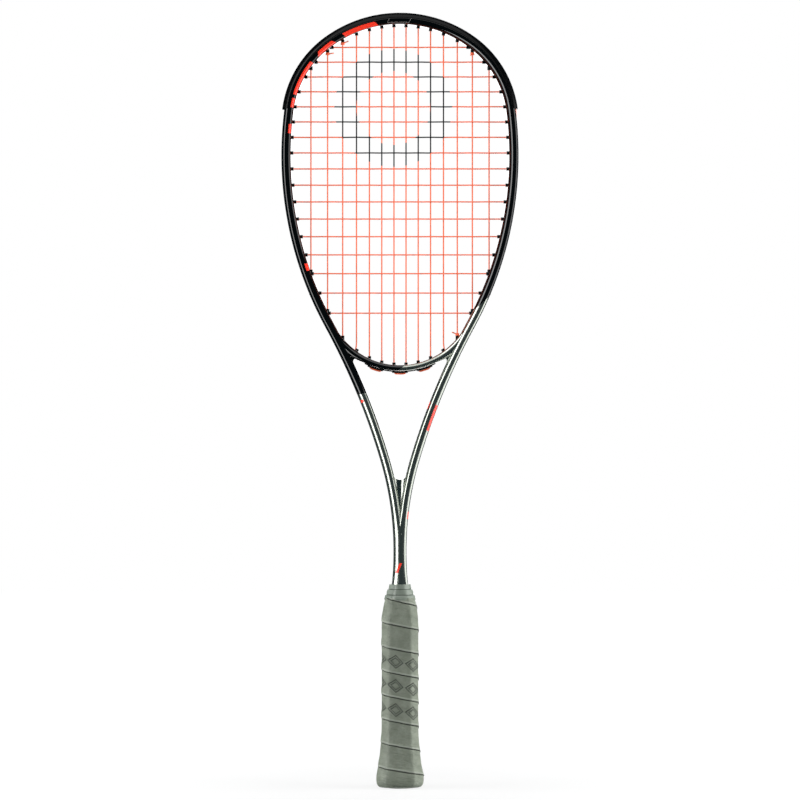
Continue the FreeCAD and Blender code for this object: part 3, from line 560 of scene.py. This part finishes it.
bm = bmesh.new()
bmesh.ops.create_grid(bm, x_segments=1, y_segments=1, size=0.5)
bmesh.ops.delete(bm, geom=bm.faces[:], context="FACES_ONLY")
bmesh.ops.scale(bm, verts=bm.verts, vec=(CROTCH_RADIUS * FILLET_REACH, FILLET_DEPTH, 1))
bmesh.ops.translate(bm, verts=bm.verts, vec=(CROTCH_RADIUS * FILLET_MIDDLE, 0, 0))
bmesh.ops.bevel(bm, geom=bm.verts[:], affect="VERTICES", offset=FILLET_ROUNDING, segments=5, profile=0.5,
                material=-1)
to_leg, to_bridge = CROTCH_DIRECTIONS
bmesh.ops.rotate(bm, verts=bm.verts, cent=(0, 0, 0), matrix=Matrix.Rotation(-math.radians(to_leg), 3, "Y"))
bmesh.ops.spin(bm, geom=bm.verts[:] + bm.edges[:], cent=(0, 0, 0), axis=(0, -1, 0),
               angle=math.radians(to_bridge - to_leg), steps=18)
bmesh.ops.translate(bm, verts=bm.verts, vec=CROTCH)
bmesh.ops.holes_fill(bm, edges=[edge for edge in bm.edges if edge.is_boundary])
add_mirrored(bm, (-1, 1, 1))
bmesh.ops.recalc_face_normals(bm, faces=bm.faces)
fillet = new_mesh_object("throat_corner_fillets", bm)
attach(fillet, "root")
fillet.data.materials.append(bridge_finish)


# ---------------------------------------------------------------- web
# Filler resin that closes the narrow end of the throat in a smooth trough between the two legs, lacquered
# with them. Its upper edge is a round crotch, and its lower end runs out where the legs become one shaft.
WEB_LOW_Z = 0.2235
WEB_CROTCH = (0.2788, 0.0062)  # the middle and radius of the round edge
WEB_HALF_WIDTH = 0.0059
WEB_HALF_DEPTH = (0.0086, 0.0052)  # in the middle, at its foot and at its top
LEG_BEND = (0.2850, 0.2834, 0.2100)  # the legs' bend here: how far out its middle is, its radius, its height
SHORT_OF_LEG = 0.0004  # how far short of a leg's middle the web stops
UNDER_NOSE = 0.00012  # how far under a leg's surface the web's edge lies
DEEPENING = 1.25  # the trough reaches its full depth a fifth short of its top
EDGE_CURVE = 6  # how sharply the rows bend up into the round edge
bm = bmesh.new()
bmesh.ops.create_grid(bm, x_segments=20, y_segments=36, size=1)
flat = TUBE_DEPTH / 2 - TUBE_HALF
for corner in bm.verts:
    across, up = corner.co.x, (corner.co.y + 1) / 2
    level = WEB_LOW_Z + (WEB_CROTCH[0] - WEB_CROTCH[1] - WEB_LOW_Z) * up
    leg_x = LEG_BEND[0] - math.sqrt(LEG_BEND[1] ** 2 - (level - LEG_BEND[2]) ** 2)
    half_width = min(WEB_HALF_WIDTH, leg_x - SHORT_OF_LEG)
    inside_leg = min(1.0, (leg_x - half_width) / TUBE_HALF)
    leg_depth = flat + TUBE_HALF * math.sqrt(1 - inside_leg ** 2) - UNDER_NOSE
    foot, top = WEB_HALF_DEPTH
    depth = min(leg_depth, foot + (top - foot) * min(1, up * DEEPENING))
    x = across * half_width
    edge = WEB_CROTCH[0] - math.sqrt(WEB_CROTCH[1] ** 2 - min(abs(x), WEB_HALF_WIDTH) ** 2)
    rise = (edge - (WEB_CROTCH[0] - WEB_CROTCH[1])) * up ** EDGE_CURVE
    corner.co = Vector((x, -(depth + (leg_depth - depth) * across ** 2), level + rise))
add_mirrored(bm, (1, -1, 1))
bmesh.ops.bridge_loops(bm, edges=[edge for edge in bm.edges if edge.is_boundary])
bmesh.ops.recalc_face_normals(bm, faces=bm.faces)
web = new_mesh_object("throat_web_trough", bm)
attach(web, "root")
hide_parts("throat_web")
web.data.materials.append(split_lacquer("web_lacquer", -1.0, 0.0))


# ---------------------------------------------------------------- bumper and grommet strips
# Moulded black nylon: a bumper over the tip, strips in the channel and under the bridge, all with a short
# barrel through each string hole. They snap in and are held by the strings.
NYLON_SHINE = 0.25
SCUFFED = (0.12, 0.12, 0.125, 1)
GRAIN_ROUGHNESS = 0.2  # how much the grain varies the roughness, half of it up and half down


def nylon(name, colour, rough, scuff):
    """Moulded nylon with a fine spark-eroded grain and paler scuffs."""
    material, tree, shader = new_material(name, rough)
    shader.inputs["Specular IOR Level"].default_value = NYLON_SHINE
    place = add_node(tree, "TexCoord").outputs["Object"]
    grain = add_node(tree, "TexNoise", {"Vector": place, "Scale": 2600.0, "Detail": 3.0, "Roughness": 0.6})
    patches = add_node(tree, "TexNoise", {"Vector": place, "Scale": 90.0, "Detail": 5.0, "Roughness": 0.7})
    worn = add_node(tree, "MapRange", {0: patches.outputs[0], 1: 0.55, 2: 0.8, 3: 0.0, 4: scuff}).outputs[0]
    tree.links.new(blended(tree, worn, colour, SCUFFED), shader.inputs["Base Color"])
    grained = figure(tree, "MULTIPLY_ADD", grain.outputs[0], GRAIN_ROUGHNESS, rough - GRAIN_ROUGHNESS / 2)
    tree.links.new(grained, shader.inputs["Roughness"])
    bump = add_node(tree, "Bump", {"Strength": 0.35, "Distance": 0.00006, "Height": grain.outputs[0]})
    tree.links.new(bump.outputs[0], shader.inputs["Normal"])
    return material


# The bumper's lips wrap round the tube's front and back noses. Their section is listed as how far each corner
# lies from the middle depthwise, and how far outwards.
LIP_SECTION = [(0.0046, 0.00612), (0.0056, 0.00595), (0.0067, 0.00535), (0.0077, 0.00445), (0.0085, 0.00345),
               (0.0091, 0.00235), (0.0094, 0.0015), (0.0093, 0.0012), (0.0088, 0.0011), (0.0080, 0.0020),
               (0.0069, 0.0033), (0.0059, 0.0039)]
BUMPER_RUN = [(0.107, 36.2), (0.0873, 46.0)]
LIP_ROW = 0.002
bm = bmesh.new()
for layer_name in ("run", "heading"):
    bm.verts.layers.float.new(layer_name)
lip_ring = [bm.verts.new((0, -deep, TIP_Z + outward)) for deep, outward in LIP_SECTION]
for corner, following in zip(lip_ring, lip_ring[1:] + lip_ring[:1]):
    bm.edges.new((corner, following))
drag(bm, list(bm.edges), (0, TIP_Z, 0, 0), BUMPER_RUN, LIP_ROW)
bmesh.ops.mirror(bm, geom=bm.verts[:] + bm.edges[:] + bm.faces[:], axis="X", merge_dist=WELD)
bmesh.ops.holes_fill(bm, edges=[edge for edge in bm.edges if edge.is_boundary])
add_mirrored(bm, (1, -1, 1))
bmesh.ops.recalc_face_normals(bm, faces=bm.faces)
lips = new_mesh_object("bumper_lips", bm, crease=50)
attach(lips, "root")

bumper_nylon = nylon("bumper_nylon", (0.0015, 0.0015, 0.0017, 1), 0.24, 0.03)
strip_nylon = nylon("strip_nylon", (0.002, 0.002, 0.002, 1), 0.42, 0.03)
lips.data.materials.append(bumper_nylon)


def finish_node(node_name, finish):
    """Gives one of the frame's own nodes its finish."""
    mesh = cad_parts[node_name].data
    mesh.materials.clear()
    mesh.materials.append(finish)


finish_node("bumper_guard", bumper_nylon)
for node_name in ("side_grommet_strip_left", "side_grommet_strip_right", "throat_grommet_strip",
                  "corner_grommets"):
    finish_node(node_name, strip_nylon)


# ---------------------------------------------------------------- strings
# Two lengths of coral multifilament, woven over and under each other, with a plain black ring stencilled on
# the upper bed, and four tie-off knots.
RING_CENTRE = (-0.006, 0.602)
RING_OUTER = 0.052
RING_INNER = 0.033
RING_SOFT = 0.0004
INK = (0.006, 0.006, 0.006, 1)
CORAL = ((0.90, 0.145, 0.045, 1), (0.95, 0.19, 0.09, 1))
CORAL_PAINTED_GLOW = 0.35  # painted light: the coral glows to look brighter than the lamps make it
STRING_GLOSS = 0.35  # the clear coat's weight, which the ink covers


def string_coat(name):
    """Coated multifilament, slightly clear, with a twist of fine strands, and the bed's black stencil."""
    material, tree, shader = new_material(name, 0.32, coat=STRING_GLOSS, coat_rough=0.15)
    place = add_node(tree, "TexCoord").outputs["Object"]
    x, y, z = add_node(tree, "SeparateXYZ", {0: place}).outputs
    fibres = add_node(tree, "TexNoise", {"Vector": place, "Scale": 1500.0, "Detail": 2.0})
    dyed = add_node(tree, "TexNoise", {"Vector": place, "Scale": 45.0, "Detail": 2.0})
    across = figure(tree, "SUBTRACT", x, RING_CENTRE[0])
    up = figure(tree, "SUBTRACT", z, RING_CENTRE[1])
    squared = figure(tree, "MULTIPLY_ADD", across, across, figure(tree, "MULTIPLY", up, up))
    ink = band(tree, figure(tree, "SQRT", squared), RING_INNER, RING_OUTER, RING_SOFT)
    colour = blended(tree, ink, blended(tree, dyed.outputs[0], *CORAL), INK)
    tree.links.new(colour, shader.inputs["Base Color"])
    # The string glows in its own colour as painted light. The black ink does not glow.
    tree.links.new(colour, shader.inputs["Emission Color"])
    shader.inputs["Emission Strength"].default_value = CORAL_PAINTED_GLOW
    gloss = figure(tree, "MULTIPLY_ADD", ink, -STRING_GLOSS, STRING_GLOSS)
    tree.links.new(gloss, shader.inputs["Coat Weight"])
    bump = add_node(tree, "Bump", {"Strength": 0.25, "Distance": 0.00005, "Height": fibres.outputs[0]})
    tree.links.new(bump.outputs[0], shader.inputs["Normal"])
    return material


bed_coat = string_coat("string_bed_coat")
for node_name in ("main_string", "cross_string", "string_knots"):
    finish_node(node_name, bed_coat)


# ---------------------------------------------------------------- grip
# A soft polyurethane tape wound in a spiral from the butt up, each turn lapping the last, with a plain
# pattern pressed into it. It follows the handle's octagon and the butt's flare.
GRIP_HALVES = [(0.0022, 0.0206), (0.007, 0.0218), (0.012, 0.0212), (0.02, 0.0194), (0.031, 0.0182),
               (0.046, 0.0169), (0.07, 0.01675), (0.145, 0.01675), (0.155, 0.0161), (0.163, 0.0146),
               (0.171, 0.0123), (0.1800, 0.0092)]  # height and half the width there
DEPTH_SHARE = 0.84
LEAST_HALF_DEPTH = 0.010
FLAT_SHARE = 0.58  # the part of each side that the octagon's flats take
OCTAGON_TURN = Matrix.Rotation(math.radians(22.5), 4, "Z")  # it puts the flats square on to the axes
WRAP_PITCH = 0.0213
WRAP_LAP = 0.0005
SEAM_HEIGHT = 0.1486  # a seam's height where it passes the left edge
GRIP_LOW = 0.0004
BUTT_ROUNDING = 0.0042
GRIP_TOP = 0.1679
GRIP_ROWS = 330
GRIP_SIDE_CUTS = 11
GRIP_SOFTENING = 4  # passes that round the octagon's corners
EASED_OVER = 0.0012  # the spacing of the seven heights that the outline is averaged over
LAP_FADE = 0.16  # in turns, how far above a seam the lap's swell fades out
LAP_GROOVE = (0.8, 0.035)  # the groove just under a seam: its depth, in laps, and its width in turns


def grip_half(height):
    """Half the grip's width, on straight lines between the listed ones."""
    below = max((pair for pair in GRIP_HALVES if pair[0] <= height), default=GRIP_HALVES[0])
    above = min((pair for pair in GRIP_HALVES if pair[0] > height), default=GRIP_HALVES[-1])
    if above[0] <= below[0]:
        return below[1]
    return below[1] + (above[1] - below[1]) * (height - below[0]) / (above[0] - below[0])


def eased_half(height):
    """The same, averaged over a few millimetres so that the outline has no corners."""
    return sum(grip_half(height + EASED_OVER * step) for step in range(-3, 4)) / 7


def grip_layers():
    """The grip's layers from the butt up, each a height, half width and half depth, rounded in at the rim."""
    for row in range(GRIP_ROWS + 1):
        height = GRIP_LOW + (GRIP_TOP - GRIP_LOW) * row / GRIP_ROWS
        short = max(0.0, 1 - (height - GRIP_LOW) / BUTT_ROUNDING)
        rounding = BUTT_ROUNDING * (1 - math.sqrt(1 - short * short))
        half = eased_half(height)
        yield height, half - rounding, max(half * DEPTH_SHARE, LEAST_HALF_DEPTH) - rounding


def raise_wall(bm, layers):
    """Fits the one ring in bm to the first layer and draws it up through the others."""
    ring = bm.edges[:]
    corners = bm.verts[:]
    level = 0.0
    for number, (height, half, deep) in enumerate(layers):
        if number:
            corners, ring = extrude_ring(bm, ring)
        old_half = max(corner.co.x for corner in corners)
        old_deep = max(corner.co.y for corner in corners)
        bmesh.ops.scale(bm, verts=corners, vec=(half / old_half, deep / old_deep, 1))
        bmesh.ops.translate(bm, verts=corners, vec=(0, 0, height - level))
        level = height


bm = bmesh.new()
around_layer = bm.verts.layers.float.new("around")
bmesh.ops.create_circle(bm, segments=8, radius=1, matrix=OCTAGON_TURN)
for corner in bm.verts:
    long_x = abs(corner.co.x) > abs(corner.co.y)
    corner.co.x = math.copysign(1 if long_x else FLAT_SHARE, corner.co.x)
    corner.co.y = math.copysign(FLAT_SHARE if long_x else 1, corner.co.y)
bmesh.ops.subdivide_edges(bm, edges=bm.edges[:], cuts=GRIP_SIDE_CUTS)
for _ in range(GRIP_SOFTENING):
    bmesh.ops.smooth_vert(bm, verts=bm.verts, factor=0.5, use_axis_x=True, use_axis_y=True)
for corner in bm.verts:
    corner[around_layer] = (math.atan2(-corner.co.y, -corner.co.x) / math.tau) % 1.0
raise_wall(bm, grip_layers())
for corner in bm.verts:
    turns = (corner.co.z - SEAM_HEIGHT) / WRAP_PITCH + corner[around_layer]
    phase = turns % 1.0
    swell = math.exp(-(phase / LAP_FADE) ** 2)
    groove = LAP_GROOVE[0] * math.exp(-((1 - phase) / LAP_GROOVE[1]) ** 2)
    outwards = Vector((corner.co.x, corner.co.y, 0)).normalized()
    corner.co += outwards * WRAP_LAP * (swell - groove - 1)
grip_map = bm.loops.layers.uv.new("wrap")
for face in bm.faces:
    arounds = [corner.vert[around_layer] for corner in face.loops]
    for corner, share in zip(face.loops, arounds):
        whole = 1.0 if share < 0.25 and max(arounds) > 0.75 else 0.0
        corner[grip_map].uv = (share + whole, corner.vert.co.z)
bmesh.ops.holes_fill(bm, edges=[edge for edge in bm.edges if edge.is_boundary])
bmesh.ops.recalc_face_normals(bm, faces=bm.faces)
grip = new_mesh_object("wound_grip", bm, crease=60)
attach(grip, "root")
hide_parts("grip_wrap")

GIRTH = 0.098
LOZENGE_PITCH = GIRTH / 7
LOZENGE_SLOPE = 1.05  # a lozenge's width over its height
LOZENGE_LINES = ((0.0056, 0.0063), (0.0034, 0.0040))  # the outer and the inner pressed line
LINE_SOFT = 0.0003
PRESSED_TURNS = (-4.5, -1.5)  # the turns that carry the pressed lozenges, counted from the top
SEAM_GROOVE = (0.008, 0.03)  # in turns from the seam, where the groove starts to fade and where it ends
SEAM_HIGHLIGHT_BAND = (0.035, 0.085)  # in turns above the seam, where a painted highlight pales the tape's lapped edge
CREASE_STRETCH = 0.35  # the creases run along the tape
CREASE_HEIGHT = 1.1  # these are shares of the bump's distance
GROOVE_HEIGHT = -0.7
RAISED_HEIGHT = 0.35
PEBBLE_HEIGHT = 0.06
SKIN_RELIEF = 0.0009  # the bump's distance
GRIP_SAGE = ((0.185, 0.21, 0.16, 1), (0.28, 0.31, 0.245, 1))
SEAM_HIGHLIGHT_SAGE = (0.46, 0.49, 0.42, 1)
# painted shade for the seams' grooves and the pressed lines
PAINTED_GROOVE_SHADE = (0.018, 0.022, 0.015, 1)


def grip_skin():
    """Soft tacky skin with lapped seams, creases along the tape, a fine pebble, and pressed lozenges."""
    material, tree, shader = new_material("grip_skin", 0.5)
    shader.inputs["Sheen Weight"].default_value = 0.4
    shader.inputs["Sheen Roughness"].default_value = 0.4
    shader.inputs["Sheen Tint"].default_value = (0.9, 0.95, 0.86, 1)
    around, height, _ = add_node(
        tree, "SeparateXYZ", {0: add_node(tree, "UVMap", uv_map="wrap").outputs[0]}).outputs
    place = add_node(tree, "TexCoord").outputs["Object"]
    climb = figure(tree, "DIVIDE", figure(tree, "SUBTRACT", height, SEAM_HEIGHT), WRAP_PITCH)
    turns = figure(tree, "ADD", climb, around)
    phase = figure(tree, "FRACT", turns)
    count = figure(tree, "FLOOR", turns)
    along = figure(tree, "MULTIPLY", figure(tree, "SUBTRACT", around, count), GIRTH)
    up = figure(tree, "MULTIPLY", figure(tree, "SUBTRACT", phase, 0.5), WRAP_PITCH)
    from_gap = figure(tree, "PINGPONG", along, LOZENGE_PITCH / 2)
    from_middle = figure(tree, "SUBTRACT", LOZENGE_PITCH / 2, from_gap)
    lozenge = figure(tree, "MULTIPLY_ADD", figure(tree, "ABSOLUTE", up), LOZENGE_SLOPE, from_middle)
    pressed = 0.0
    for low, high in LOZENGE_LINES:
        pressed = figure(tree, "ADD", pressed, band(tree, lozenge, low, high, LINE_SOFT))
    patterned = band(tree, count, *PRESSED_TURNS, 0.1)
    pressed = figure(tree, "MULTIPLY", pressed, patterned)
    raised = figure(tree, "MULTIPLY", figure(tree, "LESS_THAN", lozenge, LOZENGE_LINES[1][0]), patterned)
    from_seam = figure(tree, "PINGPONG", phase, 0.5)
    past_seam = add_node(tree, "MapRange", {0: from_seam, 1: SEAM_GROOVE[0], 2: SEAM_GROOVE[1]}).outputs[0]
    seam = figure(tree, "SUBTRACT", 1.0, past_seam)
    seam_highlight = band(tree, phase, *SEAM_HIGHLIGHT_BAND, 0.02)
    pebble = add_node(tree, "TexVoronoi", {"Vector": place, "Scale": 1700.0})
    stretched = figure(tree, "MULTIPLY", along, CREASE_STRETCH)
    tape = add_node(tree, "CombineXYZ", {0: stretched, 1: up, 2: count}).outputs[0]
    creases = add_node(tree, "TexNoise", {"Vector": tape, "Scale": 420.0, "Detail": 4.0, "Roughness": 0.62,
                                          "Distortion": 0.6}).outputs[0]
    mottle = add_node(tree, "TexNoise", {"Vector": place, "Scale": 130.0, "Detail": 5.0,
                                         "Roughness": 0.65}).outputs[0]
    patches = add_node(tree, "MapRange", {0: mottle, 1: 0.3, 2: 0.7}).outputs[0]
    base = blended(tree, patches, *GRIP_SAGE)
    # A painted highlight lightens the band just above each seam.
    base = blended(tree, figure(tree, "MULTIPLY", seam_highlight, 0.5), base, SEAM_HIGHLIGHT_SAGE)
    # Painted shade darkens the seam's groove under each lapped edge, and the pressed lines.
    dark = figure(tree, "MAXIMUM", seam, figure(tree, "MULTIPLY", pressed, 0.95))
    tree.links.new(blended(tree, dark, base, PAINTED_GROOVE_SHADE), shader.inputs["Base Color"])
    grooves = figure(tree, "MAXIMUM", pressed, seam)
    relief = figure(tree, "MULTIPLY", pebble.outputs[0], PEBBLE_HEIGHT)
    relief = figure(tree, "MULTIPLY_ADD", grooves, GROOVE_HEIGHT, relief)
    relief = figure(tree, "MULTIPLY_ADD", creases, CREASE_HEIGHT, relief)
    relief = figure(tree, "MULTIPLY_ADD", raised, RAISED_HEIGHT, relief)
    bump = add_node(tree, "Bump", {"Strength": 0.9, "Distance": SKIN_RELIEF, "Height": relief})
    tree.links.new(bump.outputs[0], shader.inputs["Normal"])
    tree.links.new(figure(tree, "MULTIPLY_ADD", creases, 0.25, 0.36), shader.inputs["Roughness"])
    return material


grip.data.materials.append(grip_skin())


# ---------------------------------------------------------------- finishing tape
# Stretchy vinyl tape, two and a half turns, each a little higher than the last. It holds the grip's end
# down and is stuck to itself. Each turn's edge shows as a small step.
TAPE_STEPS = [(0.1655, 0.0132), (0.1662, 0.0138), (0.1672, 0.0139), (0.1698, 0.0132), (0.1704, 0.0128),
              (0.1706, 0.0120), (0.1730, 0.0118), (0.1748, 0.0112), (0.1753, 0.0109), (0.1755, 0.0101),
              (0.1775, 0.0098), (0.1794, 0.0095), (0.1799, 0.0092), (0.1800, 0.0086)]
TAPE_SIDE_CUTS = 9
TAPE_SOFTENING = 14  # the stretched tape rounds the octagon more than the grip does
TAPE_EDGES = (0.17045, 0.17545)  # the heights of the two painted shade lines at the turns' edges
TAPE_EDGE_WIDTH = 0.00035
TAPE_EDGE_SOFT = 0.0002
TAPE_EDGE_SHADE = (0.04, 0.05, 0.04, 1)
TAPE_SAGE = ((0.22, 0.26, 0.21, 1), (0.31, 0.35, 0.30, 1))
bm = bmesh.new()
bmesh.ops.create_circle(bm, segments=8, radius=1, matrix=OCTAGON_TURN)
bmesh.ops.subdivide_edges(bm, edges=bm.edges[:], cuts=TAPE_SIDE_CUTS)
for _ in range(TAPE_SOFTENING):
    bmesh.ops.smooth_vert(bm, verts=bm.verts, factor=0.5, use_axis_x=True, use_axis_y=True)
raise_wall(bm, [(height, half, max(half * DEPTH_SHARE, LEAST_HALF_DEPTH)) for height, half in TAPE_STEPS])
bmesh.ops.holes_fill(bm, edges=[edge for edge in bm.edges if edge.is_boundary])
bmesh.ops.recalc_face_normals(bm, faces=bm.faces)
tape = new_mesh_object("finishing_tape_turns", bm, crease=35)
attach(tape, "root")
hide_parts("finishing_tape")
tape_material, tree, shader = new_material("tape_vinyl", 0.3, coat=0.3, coat_rough=0.2)
place = add_node(tree, "TexCoord").outputs["Object"]
stretch = add_node(tree, "TexNoise", {"Vector": place, "Scale": 240.0, "Detail": 3.0})
colour = blended(tree, stretch.outputs[0], *TAPE_SAGE)
height = add_node(tree, "SeparateXYZ", {0: place}).outputs[2]
# Painted shade: a dark line under each turn's edge.
for edge in TAPE_EDGES:
    shade = band(tree, height, edge, edge + TAPE_EDGE_WIDTH, TAPE_EDGE_SOFT)
    colour = blended(tree, shade, colour, TAPE_EDGE_SHADE)
tree.links.new(colour, shader.inputs["Base Color"])
bump = add_node(tree, "Bump", {"Strength": 0.3, "Distance": 0.0002, "Height": stretch.outputs[0]})
tree.links.new(bump.outputs[0], shader.inputs["Normal"])
tape.data.materials.append(tape_material)


# ---------------------------------------------------------------- handle and butt cap
# A foam handle in two halves, moulded on to the tubes and hidden under the grip, with a moulded plastic cup
# stapled over its end.
CAP_LAYERS = [(0.0, 0.0145), (0.0002, 0.0151), (0.0008, 0.0155), (0.0026, 0.0157)]  # height and half-width
CAP_CORNER = 0.2  # how much the octagon's corners are rounded, as a share of its half width
CAP_GROOVE = ((0.0028, 0.0), (0.0004, 0.0005), (0.0012, 0.0), (0.0004, -0.0005))  # inwards, and in depth
CAP_SAGE = (0.10, 0.115, 0.095, 1)
bm = bmesh.new()
bmesh.ops.create_circle(bm, segments=8, radius=1, matrix=OCTAGON_TURN, cap_ends=True)
bmesh.ops.bevel(bm, geom=bm.verts[:], affect="VERTICES", offset=CAP_CORNER, segments=5, profile=0.5,
                material=-1)
floor_face = bm.faces[:]
raise_wall(bm, [(height, half, half * DEPTH_SHARE) for height, half in CAP_LAYERS])
bmesh.ops.holes_fill(bm, edges=[edge for edge in bm.edges if edge.is_boundary])
for thickness, depth in CAP_GROOVE:
    bmesh.ops.inset_region(bm, faces=floor_face, thickness=thickness, depth=depth, use_even_offset=True)
bmesh.ops.recalc_face_normals(bm, faces=bm.faces)
cap = new_mesh_object("butt_cap_floor", bm)
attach(cap, "root")
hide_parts("butt_cap")
cap.data.materials.append(nylon("cap_plastic", CAP_SAGE, 0.5, 0.1))
foam = nylon("handle_foam_skin", (0.05, 0.05, 0.05, 1), 0.8, 0.0)
steel, tree, shader = new_material("staple_wire", 0.3, metal=1.0)
place = add_node(tree, "TexCoord").outputs["Object"]
drawn = add_node(tree, "TexNoise", {"Vector": place, "Scale": 1200.0})
wire = blended(tree, drawn.outputs[0], (0.5, 0.5, 0.5, 1), (0.7, 0.7, 0.7, 1))
tree.links.new(wire, shader.inputs["Base Color"])
finish_node("handle_pallet_front", foam)
finish_node("handle_pallet_rear", foam)
finish_node("butt_cap_staples", steel)
